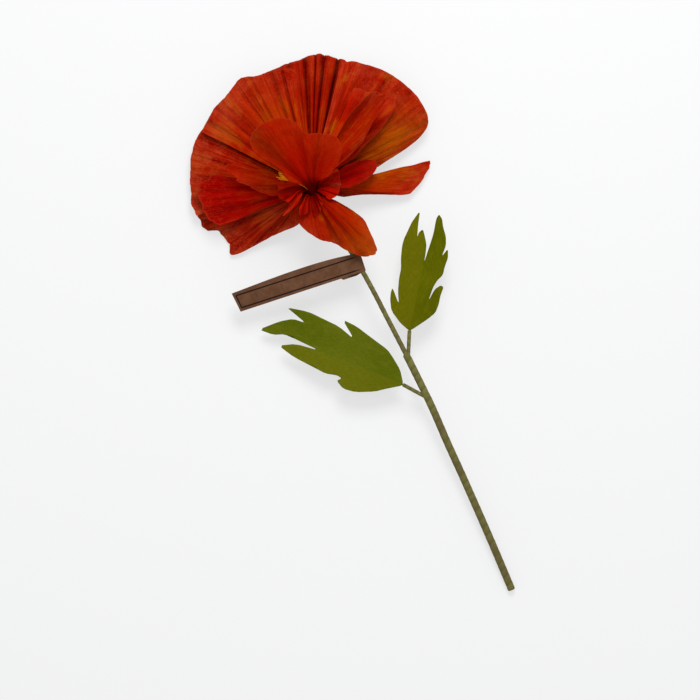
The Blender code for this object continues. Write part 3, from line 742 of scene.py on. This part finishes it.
def crepe_material(name, mid, bright_and_highlight, deep, orange, dust):
    """Dyed crepe paper, with painted shade in valleys, at the foot and in the heart, and a painted highlight
    on crests. orange and dust are how much orange streaking and pale rim the petal has.
    """
    made, tree, shader = new_material(name, 0.8)
    grain = use_group(tree, CRINKLE, Streaks=40.0, Crinkle_Scale=190.0, Stretch=2.6)
    mottle = maths(tree, "ADD", grain.outputs["Streak"], grain.outputs["Blotch"])
    mottle = maths(tree, "MULTIPLY", mottle, 0.5)
    dye_and_shade = dye_with_painted_shade(tree, mottle, mid, bright_and_highlight, deep)
    streaks = maths(tree, "MULTIPLY", ramp(tree, mottle, 0.50, 0.62, 0.0, orange),
                    ramp(tree, attribute(tree, "reach"), 0.25, 0.6))
    patch = maths(tree, "MULTIPLY", attribute(tree, "patch"), ramp(tree, mottle, 0.30, 0.62, 0.3, 1.1))
    dye_and_shade = blend_colour(tree, maths(tree, "MAXIMUM", streaks, patch), dye_and_shade, AMBER)
    dye_and_shade = flecked(tree, grain, dye_and_shade, 0.74, 1.20, full=0.72)
    colour = blend_colour(tree, pale_share(tree, grain, dust), dye_and_shade, DUST_AND_HIGHLIGHT)
    finish_paper(tree, shader, grain, colour, 0.6, 0.0007)
    return made


# %% Dye and painted shade of each petal
PETAL_DYE_AND_SHADE = {
    # the valley colour of this petal is painted shade, a deeper red for its dark valleys
    "petal_back_top": ((0.27, 0.002, 0.0), RED_BRIGHT_AND_HIGHLIGHT, (0.12, 0.0, 0.0), 0.15, 0.15),
    "petal_back_upper_left": (RED, RED_BRIGHT_AND_HIGHLIGHT, RED_PAINTED_SHADE, 0.35, 0.30),
    "petal_back_left": (RED, RED_BRIGHT_AND_HIGHLIGHT, RED_PAINTED_SHADE, 0.30, 0.55),
    "petal_back_lower_left": (RED, RED_BRIGHT_AND_HIGHLIGHT, RED_PAINTED_SHADE, 0.2, 0.65),
    "petal_back_right": (RED, RED_BRIGHT_AND_HIGHLIGHT, RED_PAINTED_SHADE, 0.75, 0.35),
    "petal_right_long": (RED, RED_BRIGHT_AND_HIGHLIGHT, RED_PAINTED_SHADE, 0.6, 0.3),
    "petal_lower": (RED, RED_BRIGHT_AND_HIGHLIGHT, RED_PAINTED_SHADE, 0.45, 0.25),
    # a darker mid tone: painted shade over the whole sheet, which lies in shade
    "petal_inner_left_lower": (SHADED, (0.47, 0.003, 0.0), RED_PAINTED_SHADE, 0.12, 0.2),
    "petal_inner_right_broad": (RED, INNER_BRIGHT_AND_HIGHLIGHT, RED_PAINTED_SHADE, 0.3, 0.2),
    # a darker mid tone: painted shade over the whole sheet, which lies in shade
    "petal_inner_right_low": ((0.25, 0, 0), (0.40, 0.003, 0.0), RED_PAINTED_SHADE, 0.0, 0.1),
    "petal_inner_left_upper": ((0.38, 0.004, 0.0), (0.45, 0.016, 0.0), RED_PAINTED_SHADE, 0.20, 0.15),
    "petal_inner_right_tall": ((0.36, 0.004, 0.0), (0.43, 0.018, 0.0), RED_PAINTED_SHADE, 0.25, 0.15),
}

# %% Make the petals
for number, (petal, values) in enumerate(PETALS.items()):
    finish = PETAL_DYE_AND_SHADE.get(petal, (INNER, INNER_BRIGHT_AND_HIGHLIGHT, RED_PAINTED_SHADE, 0.10, 0.08))
    slot = "inner_petal_paper" if "inner" in petal or "collar" in petal else "petal_paper"
    dress(petal_sheet(petal, values, number + 1), crepe_material(petal + "_crepe", *finish), slot, petal)
print("petals dressed:", len(PETALS))

# %% [markdown]
# ## Stamens and the binding strip
# The yellow heart is a strip of crepe paper cut into a fringe and rolled round the wire. Each finger of the
# fringe is a narrow ribbon that leans out from the roll. The binding is one more strip, wound tight over the
# bases of the petals down to the stem, so it shows the edge of each turn.

# %% Fringe
STAMEN_LENGTH = 28.0
STAMEN_LEAN = math.radians(256.0)
STAMEN_CLOSED = 2.3
STAMEN_OPEN = 22.5
FINGERS = 44
FINGER_WIDTH = 3.2
SHORTEST_FINGER = 0.86
ROLL_RADIUS = 1.3


def fringe(name, layers=2, rows=12):
    """Ribbons round the axis: the base circle, plus a lean that grows with the square of the length."""
    rng = np.random.default_rng(5)
    turn = np.repeat(np.linspace(0, 2 * math.pi, FINGERS * layers, endpoint=False), 3)
    offset = np.tile([-0.5, 0.0, 0.5], FINGERS * layers)
    layer = np.repeat(np.arange(FINGERS * layers) % layers, 3)
    length = np.repeat(rng.uniform(SHORTEST_FINGER, 1.0, FINGERS * layers) * STAMEN_LENGTH, 3)
    t = np.linspace(0, 1, rows)[:, None]
    open_side = np.maximum(np.cos(turn - STAMEN_LEAN), 0) ** 4
    widest = STAMEN_CLOSED + STAMEN_OPEN * open_side
    level = -PETAL_TUCK / 2 + (length + PETAL_TUCK / 2) * t
    risen = (level + PETAL_TUCK / 2) / (STAMEN_LENGTH + PETAL_TUCK / 2)
    apart = np.repeat(rng.uniform(-0.5, 0.5, FINGERS * layers), 3)
    spread = ROLL_RADIUS + 0.25 * layer + (widest - ROLL_RADIUS - 0.5 * layer + apart) * risen**2.5
    width = FINGER_WIDTH * np.sqrt(np.clip(1 - t**4, 0.05, 1)) / np.maximum(spread, 1.0)
    angle = turn + offset * width + 0.03 * np.sin(7 * turn) * t
    points = NECK + level[..., None] * AXIS + spread[..., None] * spokes(angle)
    piece = grid_sheet(name, to_frame(points), (offset + turn)[None, :], t, 0.0)
    cut = bmesh.new()
    cut.from_mesh(piece.data)
    cut.faces.ensure_lookup_table()
    columns = points.shape[1]
    between = [column for column in range(columns - 1) if column % 3 == 2]
    joins = [cut.faces[row * (columns - 1) + column] for row in range(rows - 1) for column in between]
    bmesh.ops.delete(cut, geom=joins, context="FACES")
    cut.to_mesh(piece.data)
    cut.free()
    give_thickness(piece, CREPE)
    return piece


def yellow_material():
    """Yellow crepe in two tones, mixed by streaks along the grain."""
    made, tree, shader = new_material("stamen_crepe", 0.7)
    grain = use_group(tree, CRINKLE, Streaks=30.0, Crinkle_Scale=400.0, Stretch=3.0)
    colour = blend_colour(tree, grain.outputs["Streak"], (0.98, 0.36, 0.003, 1), (0.90, 0.23, 0.002, 1))
    finish_paper(tree, shader, grain, colour, 0.3, 0.0004)
    return made


dress(fringe("stamen_fringe_paper"), yellow_material(), "stamen_paper", "stamen_fringe")
print("fringe fingers:", FINGERS * 2)

# %% [markdown]
# ## The stem and its wound strips
# The wires are covered with a stretched paper strip that is wound on a slant, so each turn laps over the
# last and leaves a slanted step. The tube's radius rises slowly along each turn and drops at its edge.

# %% Stem path
STEM_SWAY = np.array([
    (0, 0.0), (46, 1.0), (96, 1.4), (128, 1.3), (158, 1.7), (182, 1.1), (209, 0.0), (240, -1.7),
    (263, -2.9), (285, -4.7), (300, -6.4), (330, -10.8)])
STEM_RISE = 0.083
UPPER_RADIUS = 1.65
LOWER_RADIUS = 2.7
STALK_RADIUS = 1.25
WIRE_RADIUS = 0.8
WIRE_SLACK = 0.25
LOWER_JOINT = 169.8
UPPER_JOINT = 205.8
STALK_LENGTH = 20.0
NECK_BEND = 9.0
STRIP_PAPER = 0.35 * MM
LAP_AT = 0.88


def stem_point(along):
    """The stem's centreline at a distance from its cut end: a measured sway and a steady rise."""
    along = np.atleast_1d(np.asarray(along, float))
    sway = smooth_path(STEM_SWAY, 200)
    return np.stack([np.interp(along, sway[:, 0], sway[:, 1]), along, LOWER_RADIUS + STEM_RISE * along], 1)


def frames_along(path):
    """Two unit vectors square to the path at each of its points."""
    ahead = np.gradient(path, axis=0)
    ahead /= np.linalg.norm(ahead, axis=1, keepdims=True)
    first = np.cross(ahead, np.array([0.0, 0.0, 1.0]))
    first /= np.linalg.norm(first, axis=1, keepdims=True)
    return first, np.cross(first, ahead)


# %% Wound tube
def wound_tube(name, path, radius, pitch=7.0, step=0.16, sides=28, bore=0.0):
    """A tube along the path whose radius falls by one step at each slanted turn of the strip. With a bore,
    the first end is a flat ring down to that radius."""
    length = np.concatenate([[0], np.cumsum(np.linalg.norm(np.diff(path, axis=0), axis=1))])
    count = max(12, int(length[-1] / 0.55))
    even = np.linspace(0, length[-1], count)
    path = np.stack([np.interp(even, length, path[:, k]) for k in range(3)], 1)
    first, second = frames_along(path)
    turn = np.linspace(0, 2 * math.pi, sides, endpoint=False)
    wind = even[:, None] / pitch + turn[None, :] / (2 * math.pi)
    wind = wind + 0.30 * np.sin(even[:, None] / 13.7) + 0.17 * np.sin(even[:, None] / 5.3 + radius)
    phase = wind % 1.0
    lap = np.where(phase < LAP_AT, phase / LAP_AT, (1 - phase) / (1 - LAP_AT))
    radial = radius - step + step * lap
    ends = np.minimum(even, even[::-1]) / 0.5
    radial = radial * np.clip(0.86 + 0.14 * np.sqrt(np.clip(ends, 0, 1)), 0, 1)[:, None]
    around = np.cos(turn)[:, None] * first[:, None, :] + np.sin(turn)[:, None] * second[:, None, :]
    points = path[:, None, :] + radial[..., None] * around
    along = even[:, None] / pitch
    if bore:
        points = np.concatenate([path[:1, None] + bore * around[:1], points], 0)
        wind, along, lap = (np.concatenate([values[:1], values], 0) for values in (wind, along, lap))
    piece = grid_sheet(name, to_frame(points), wind, along, closed=True, marks={"lap": lap})
    give_thickness(piece, STRIP_PAPER, offset=-1.0)
    return piece


# %% Strip material
def strip_material(name, light, dark, brown):
    """Wound paper strip: light where each turn stands highest, dark toward its lapped edge."""
    made, tree, shader = new_material(name, 0.68)
    grain = use_group(tree, CRINKLE, Streaks=9.0, Crinkle_Scale=700.0, Stretch=1.2)
    lap = attribute(tree, "lap")
    turn = ramp(tree, lap, 0.05, 0.8, 0.15, 1.0)
    colour = blend_colour(tree, turn, (*dark, 1), (*light, 1))
    place = node(tree, "ShaderNodeTexCoord").outputs["Object"]
    cloud = node(tree, "ShaderNodeTexNoise", Vector=place, Scale=45.0, Detail=3.0, Roughness=0.6).outputs[0]
    colour = blend_colour(tree, ramp(tree, cloud, 0.42, 0.62, 0.0, 0.6), colour, (*brown, 1))
    along = node(tree, "ShaderNodeSeparateXYZ", Vector=place).outputs[1]
    low_end = ramp(tree, along, 0.02, 0.26, 0.35, 0.0)
    colour = blend_colour(tree, low_end, colour, (*brown, 1))
    colour = flecked(tree, grain, colour, 0.78, 1.2)
    finish_paper(tree, shader, grain, colour, 0.4, 0.0004)
    return made


STRIP = strip_material("stem_strip", (0.210, 0.195, 0.060), (0.135, 0.125, 0.030), (0.13, 0.10, 0.045))
print("strip material:", STRIP.name)

# %% Wind the stem
low_top = stem_point(STEM_SWAY[-1][0])[0]
into = NECK - AXIS * PETAL_TUCK
halfway = (low_top + into) / 2 - FRONT * 1.0
bend = smooth_path([low_top, halfway, into - AXIS * NECK_BEND * 0.35, into, NECK], 25)
thick = stem_point(np.linspace(0, LOWER_JOINT + 1.2, 60))
middle = stem_point(np.linspace(LOWER_JOINT + 1.0, UPPER_JOINT + 0.8, 30))
thin = np.vstack([stem_point(np.linspace(UPPER_JOINT, STEM_SWAY[-1][0] - 4, 60)), bend[:15:2]])
lower_strip = wound_tube("stem_strip_lower", thick, LOWER_RADIUS, bore=WIRE_RADIUS + WIRE_SLACK)
dress(lower_strip, STRIP, "stem_wrap", "stem_wrap_lower")
dress(wound_tube("stem_strip_middle", middle, LOWER_RADIUS - 0.08), STRIP, "stem_wrap", "stem_wrap_middle")
dress(wound_tube("stem_strip_upper", thin, UPPER_RADIUS, pitch=6.0), STRIP, "stem_wrap", "stem_wrap_upper")
print("stem strips: 3")

# %% Wind the binding
BINDING_PROFILE = np.array([(7.4, -2.5), (7.45, -8.6), (2.25, -11.2)])
BINDING_PITCH = 3.0
BINDING_STEP = 0.2
BINDING_PAPER = 0.4 * MM

level = np.interp(np.linspace(0, 2, 50), [0, 1, 2], BINDING_PROFILE[:, 1])
radius = np.interp(np.linspace(0, 2, 50), [0, 1, 2], BINDING_PROFILE[:, 0])
swing = np.linspace(0, 2 * math.pi, 48, endpoint=False)
lap = ((-level[:, None] / BINDING_PITCH) + swing[None, :] / (2 * math.pi)) % 1.0
stepped = radius[:, None] - BINDING_STEP + BINDING_STEP * lap
bound = NECK + level[:, None, None] * AXIS + stepped[..., None] * spokes(swing)[None]
down = -level[:, None] / BINDING_PITCH
binding = grid_sheet("bloom_binding_strip", to_frame(bound), swing[None, :] / 3, down, closed=True,
                     marks={"lap": lap})
give_thickness(binding, BINDING_PAPER)
dress(binding, STRIP, "stem_wrap", "bloom_binding")
print("binding from", BINDING_PROFILE[0, 1], "to", BINDING_PROFILE[-1, 1], "mm along the axis")

# %% [markdown]
# ## Leaves on their stalks
# Each leaf is cut from one sheet of paper in a lobed outline and glued on a wire. The outline is rounded a
# little by cutting its corners, filled with triangles on a fine net of points, and the flat sheet is then
# bent: it droops toward its tip and cups along its middle line. A grid that follows two numbers can't have
# lobes like these, so the leaf is the one piece that is filled with triangles instead.

# %% Leaf sizes
LEAF_OUTLINES = {
    "lower": (
        (0, -1), (6, -10), (15, -17), (21, -21), (36, -25), (50, -29), (62, -30), (48, -19), (63, -24),
        (76, -25), (89, -26), (106, -23), (98, -20.5), (88, -17), (98, -16.5), (107, -11), (120, 1),
        (108, 0.7), (100, -2.8), (90, -2.4), (70, -0.9), (89, 0.9), (101, 7), (87, 11), (68, 13), (59, 14),
        (50, 12), (46, 13), (49, 16), (42, 20), (32, 19), (18, 13), (11, 8), (0, 1),
    ),
    "upper": (
        (0, -1), (11, -12), (17, -17), (24, -18.4), (31, -18.3), (38, -19.5), (39, -17), (35, -13),
        (25, -10), (36, -11.4), (42, -13.5), (47, -17), (54, -17.3), (61, -18.4), (68, -17), (61, -13.4),
        (70, -15), (77, -13.6), (84, -10), (90, -8), (93, -5), (89, -3.5), (77, -3.7), (63, -2), (54, -0.9),
        (62, -0.6), (68, 0), (75, 3), (79, 5), (76, 7.7), (72, 8.2), (82, 9.4), (93, 10), (83, 14.6),
        (77, 16), (69, 18), (63, 18.4), (54, 17.5), (46, 15.8), (38, 15.8), (28, 14.7), (18, 12), (30, 19.4),
        (26, 20), (20, 19.3), (12, 16.7), (4, 8), (0, 1),
    ),
}
LEAF_DROOP = 7.0
LEAF_FOLD = 2.0
LEAF_PAPER = 0.28 * MM
LEAF_NET = 2.0
LEAF_CORNER = 0.18
LEAF_SEAT = np.array([0, 0, 0.9])
print("corners of the leaves:", {side: len(outline) for side, outline in LEAF_OUTLINES.items()})


# %% Leaf sheet
def cut_corners(outline, share):
    """Replace each corner by two points, a share of each side away from it."""
    ahead = np.roll(outline, -1, axis=0)
    pair = [outline + (ahead - outline) * share, ahead + (outline - ahead) * share]
    return np.stack(pair, 1).reshape(-1, 2)


def leaf_sheet(name, outline, length, base, turn):
    """A net of points inside the outline, joined by triangles, then bent by a droop and a cup."""
    outline = cut_corners(np.array(outline, float), LEAF_CORNER)
    outline *= length / outline[:, 0].max()
    low, high = outline.min(0), outline.max(0)
    net = np.meshgrid(np.arange(low[0], high[0], LEAF_NET), np.arange(low[1], high[1], LEAF_NET))
    net = np.stack(net, -1).reshape(-1, 2)
    corners = [Vector(p) for p in outline] + [Vector(p) for p in net]
    ring = list(range(len(outline)))
    found = delaunay_2d_cdt(corners, [], [ring], 1, 1e-5)
    flat, faces = np.array([(p.x, p.y) for p in found[0]]), found[2]
    a, c = flat[:, 0], flat[:, 1]
    wave = 0.5 * np.sin(a / 9.0 + 0.6) * (c / 20) + 0.35 * np.sin(c / 3.5) * (a / 100)
    height = -LEAF_DROOP * (a / 100) ** 2 + LEAF_FOLD * (c / 20) ** 2 + wave
    cos, sin = math.cos(turn), math.sin(turn)
    points = base + np.stack([a * cos - c * sin, a * sin + c * cos, height], 1)
    mesh = bpy.data.meshes.new(name)
    mesh.from_pydata(to_frame(points).tolist(), [], [tuple(f) for f in faces])
    layer = mesh.uv_layers.new(name="UVMap")
    corner = np.empty(len(mesh.loops), np.int32)
    mesh.loops.foreach_get("vertex_index", corner)
    place = np.stack([c, a], 1)[corner] * 0.01
    layer.data.foreach_set("uv", place.reshape(-1).astype(np.float32))
    mesh.shade_smooth()
    piece = bpy.data.objects.new(name, mesh)
    scene.collection.objects.link(piece)
    give_thickness(piece, LEAF_PAPER)
    return piece


# %% Leaf material
def leaf_material(name, mid, light, dark):
    """Matt dyed paper: soft blotches of two olives and a faint middle crease, with one half painted a little
    yellower as the lit side of the middle fold.
    """
    made, tree, shader = new_material(name, 0.72)
    grain = use_group(tree, CRINKLE, Streaks=24.0, Crinkle_Scale=420.0, Stretch=9.0)
    place = node(tree, "ShaderNodeTexCoord").outputs["Object"]
    cloud = node(tree, "ShaderNodeTexNoise", Vector=place, Scale=28.0, Detail=3.0, Roughness=0.5).outputs[0]
    colour = blend_colour(tree, ramp(tree, cloud, 0.35, 0.65), (*dark, 1), (*mid, 1))
    streak = ramp(tree, grain.outputs["Streak"], 0.45, 0.75, 0.0, 0.6)
    colour = blend_colour(tree, streak, colour, (*light, 1))
    uv = node(tree, "ShaderNodeUVMap", set_uv_map="UVMap").outputs[0]
    middle = node(tree, "ShaderNodeSeparateXYZ", Vector=uv).outputs[0]
    crease = ramp(tree, maths(tree, "ABSOLUTE", middle), 0.0, 0.008, 0.35, 0.0)
    colour = blend_colour(tree, crease, colour, (*light, 1))
    # painted light: the half of the leaf on the lit side of its middle fold is painted yellower
    painted_lit_half = ramp(tree, middle, -0.010, 0.016, 0.0, 0.4)
    colour = blend_colour(tree, painted_lit_half, colour, (0.165, 0.150, 0.004, 1))
    colour = flecked(tree, grain, colour, 0.86, 1.12)
    finish_paper(tree, shader, grain, colour, 0.25, 0.0004)
    return made


# %% Make the leaves and stalks
def leaf(side, joint, stalk_angle, length, blade_angle, finish):
    """The stalk is a straight line from the side of the stem, turned away from it by the stalk's angle. The
    blade starts at its end."""
    ahead = (stem_point(joint + 5) - stem_point(joint - 5))[0]
    ahead /= np.linalg.norm(ahead)
    aside = np.array([math.copysign(1.0, stalk_angle), 0.0, 0.0])
    turn = math.radians(abs(stalk_angle))
    heading = ahead * math.cos(turn) + aside * math.sin(turn)
    leave = stem_point(joint)[0] + aside * 1.5
    run = leave + heading * np.linspace(-0.5, STALK_LENGTH - 0.3, 24)[:, None]
    stalk = wound_tube("stalk_strip_" + side, run, STALK_RADIUS, pitch=5.0, sides=20)
    dress(stalk, STRIP, "stem_wrap", "stalk_wrap_" + side)
    base = leave + heading * STALK_LENGTH + LEAF_SEAT
    turn = math.radians(blade_angle)
    blade = leaf_sheet("leaf_" + side + "_paper", LEAF_OUTLINES[side], length, base, turn)
    dress(blade, finish, "leaf_paper", "leaf_" + side)
    print("leaf", side, "is", length, "mm long")


leaf("lower", LOWER_JOINT, -36.0, 121.0, 134.4, leaf_material(
    "leaf_lower_green", (0.122, 0.140, 0.005), (0.150, 0.16, 0.012), (0.095, 0.120, 0.002)))
leaf("upper", UPPER_JOINT, 29.0, 95.0, 54.5, leaf_material(
    "leaf_upper_green", (0.115, 0.118, 0.001), (0.145, 0.145, 0.003), (0.095, 0.102, 0.0005)))

# %% [markdown]
# ## The kraft tag
# The tag is one strip folded round the stem and glued to itself. It is drawn as a path seen from its edge:
# out along the front, round the stem, and back under. The printed frame of thin ruled lines is made in the
# material from the strip's own UV map.

# %% Tag sizes
TAG_AT = 288.8
TAG_LENGTH = 103.5
TAG_WIDTH = 16.0
TAG_TAPER = 1.0
TAG_ANGLE = math.radians(173.6)
TAG_DROOP = 9.0
TAG_SLACK = 2.0
KRAFT_PAPER = 0.25 * MM
TAG_BOW = 2.6
TAG_PEEK = 1.5
TAG_SKEW = 2.4
RULE_HALF = 0.55
RULE_INSET = 2.3
RULE_LOWER = 0.175
RULE_UPPER = 0.831
DIVIDERS = (0.83, 0.62)
DIVIDER_ENDS = (0.27, 0.73)
print("tag in mm:", TAG_LENGTH, "by", TAG_WIDTH)


# %% Tag sheet
def tag_sheet(name):
    """The strip's edge path: a straight front, a half circle round the stem, and a straight back. The upper
    edge bows out a little, and the back layer peeps out beside the front one near the stem."""
    hold = stem_point(TAG_AT)[0]
    ahead = np.array([math.cos(TAG_ANGLE), math.sin(TAG_ANGLE)])
    square = np.array([ahead[1], -ahead[0]])
    bend_radius = UPPER_RADIUS + 0.45
    half_gap = 0.3
    runs = np.linspace(TAG_LENGTH, TAG_SLACK + 2.0, 70)
    opening = np.interp(runs, [TAG_SLACK + 2.0, TAG_SLACK + 9.0], [1, 0])
    opening = opening * opening * (3 - 2 * opening)
    front = half_gap + (bend_radius - half_gap) * opening
    turn = np.radians(np.linspace(85, -85, 16))
    path = np.concatenate([
        np.stack([-runs, front], 1),
        np.stack([TAG_SLACK + bend_radius * np.cos(turn), bend_radius * np.sin(turn)], 1),
        np.stack([-runs[::-1], -front[::-1]], 1)])
    distance = -path[:, 0]
    level = hold[2] + path[:, 1] - TAG_DROOP * (np.maximum(distance, 0) / TAG_LENGTH) ** 1.5
    across = np.linspace(-0.5, 0.5, 9)[:, None]
    share = np.clip(distance / TAG_LENGTH, 0, 1)
    wide = TAG_WIDTH - TAG_TAPER * (1 - share)
    side = np.concatenate([np.ones(len(runs)), np.zeros(len(turn) + len(runs))])
    bow = TAG_BOW * np.sin(math.pi * share**0.72)
    peek = TAG_PEEK * (1 - side) * (share < 0.16) * (share > 0)
    offset = across * wide + bow * (across + 0.5) - peek * (0.5 - across)
    reached = distance + TAG_SKEW * (across - 0.5) * share
    plan = hold[:2] + reached[..., None] * ahead + offset[..., None] * square
    height = level[None, :] + STEM_RISE * (plan[..., 1] - hold[1])
    points = np.concatenate([plan, height[..., None]], -1)
    along = np.broadcast_to(distance / TAG_LENGTH, offset.shape)
    return grid_sheet(name, to_frame(points), along, offset / TAG_WIDTH + 0.5, KRAFT_PAPER,
                      marks={"printed": side[None, :]})


# %% Tag material
def line_mask(tree, value, centre, half_width):
    """1 on a thin line round the centre value, 0 away from it."""
    away = maths(tree, "ABSOLUTE", maths(tree, "SUBTRACT", value, centre))
    return ramp(tree, away, half_width * 0.7, half_width * 1.3, 1.0, 0.0)


def kraft_material():
    """Brown kraft paper with fibres, a thin dark ruled frame and two fainter dividers."""
    made, tree, shader = new_material("kraft_tag_paper", 0.82)
    grain = use_group(tree, CRINKLE, Streaks=8.0, Crinkle_Scale=600.0, Stretch=40.0)
    place = node(tree, "ShaderNodeTexCoord").outputs["Object"]
    speck = node(tree, "ShaderNodeTexNoise", Vector=place, Scale=900.0, Detail=2.0, Roughness=0.8).outputs[0]
    cloud = ramp(tree, grain.outputs["Blotch"], 0.35, 0.65)
    colour = blend_colour(tree, cloud, (0.125, 0.055, 0.027, 1), (0.165, 0.078, 0.042, 1))
    colour = blend_colour(tree, ramp(tree, speck, 0.62, 0.75, 0.0, 0.5), colour, (0.08, 0.033, 0.015, 1))
    uv = node(tree, "ShaderNodeUVMap", set_uv_map="UVMap").outputs[0]
    split = node(tree, "ShaderNodeSeparateXYZ", Vector=uv)
    along, across = split.outputs[0], split.outputs[1]
    thin = RULE_HALF / TAG_LENGTH
    rules = [line_mask(tree, across, at, RULE_HALF / TAG_WIDTH) for at in (RULE_LOWER, RULE_UPPER)]
    rule = maths(tree, "MAXIMUM", *rules)
    inside = maths(tree, "LESS_THAN", along, 1 - RULE_INSET / TAG_LENGTH)
    rule = maths(tree, "MULTIPLY", rule, inside)
    end = line_mask(tree, along, 1 - RULE_INSET / TAG_LENGTH, thin)
    between = [maths(tree, "GREATER_THAN", across, RULE_LOWER), maths(tree, "LESS_THAN", across, RULE_UPPER)]
    between = maths(tree, "MULTIPLY", *between)
    rule = maths(tree, "MAXIMUM", rule, maths(tree, "MULTIPLY", end, between))
    divide = [line_mask(tree, along, at, thin * 0.6) for at in DIVIDERS]
    divide = maths(tree, "MAXIMUM", *divide)
    low, high = DIVIDER_ENDS
    near = [maths(tree, "GREATER_THAN", across, low), maths(tree, "LESS_THAN", across, high)]
    near = maths(tree, "MULTIPLY", *near)
    divide = maths(tree, "MULTIPLY", maths(tree, "MULTIPLY", divide, near), 0.4)
    ink = maths(tree, "MULTIPLY", maths(tree, "MAXIMUM", rule, divide), attribute(tree, "printed"))
    ink = maths(tree, "MULTIPLY", ink, 0.95)
    colour = blend_colour(tree, ink, colour, (0.012, 0.008, 0.008, 1))
    finish_paper(tree, shader, grain, colour, 0.2, 0.0003)
    return made


dress(tag_sheet("stem_tag_paper"), kraft_material(), "kraft_tag", "stem_tag")
print("tag dressed, with", len(DIVIDERS), "dividers")

# %% [markdown]
# ## The wires
# The wires keep their CAD meshes: only their cut ends and the grips under the leaves show. They are plain
# drawn steel, a little dull, with fine scratches along them.

# %% Wire material
def wire_material():
    """Dull steel with faint streaks in its roughness."""
    made, tree, shader = new_material("drawn_wire", 0.4)
    shader.inputs["Metallic"].default_value = 0.9
    shader.inputs["Base Color"].default_value = (0.42, 0.40, 0.36, 1)
    place = node(tree, "ShaderNodeTexCoord").outputs["Object"]
    marks = node(tree, "ShaderNodeTexNoise", Vector=place, Scale=900.0, Detail=3.0).outputs[0]
    tree.links.new(ramp(tree, marks, 0.3, 0.7, 0.28, 0.55), shader.inputs["Roughness"])
    return made


WIRE = wire_material()
for wire in ("stem_wire", "leaf_wire_lower", "leaf_wire_upper"):
    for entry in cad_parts[wire].material_slots:
        entry.material = WIRE
    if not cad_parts[wire].material_slots:
        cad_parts[wire].data.materials.append(WIRE)
print("wires with their own material: 3")

# %% Print the CAD box
print("CAD box   ", [[round(c / MM, 1) for c in corner] for corner in CAD_BOX])
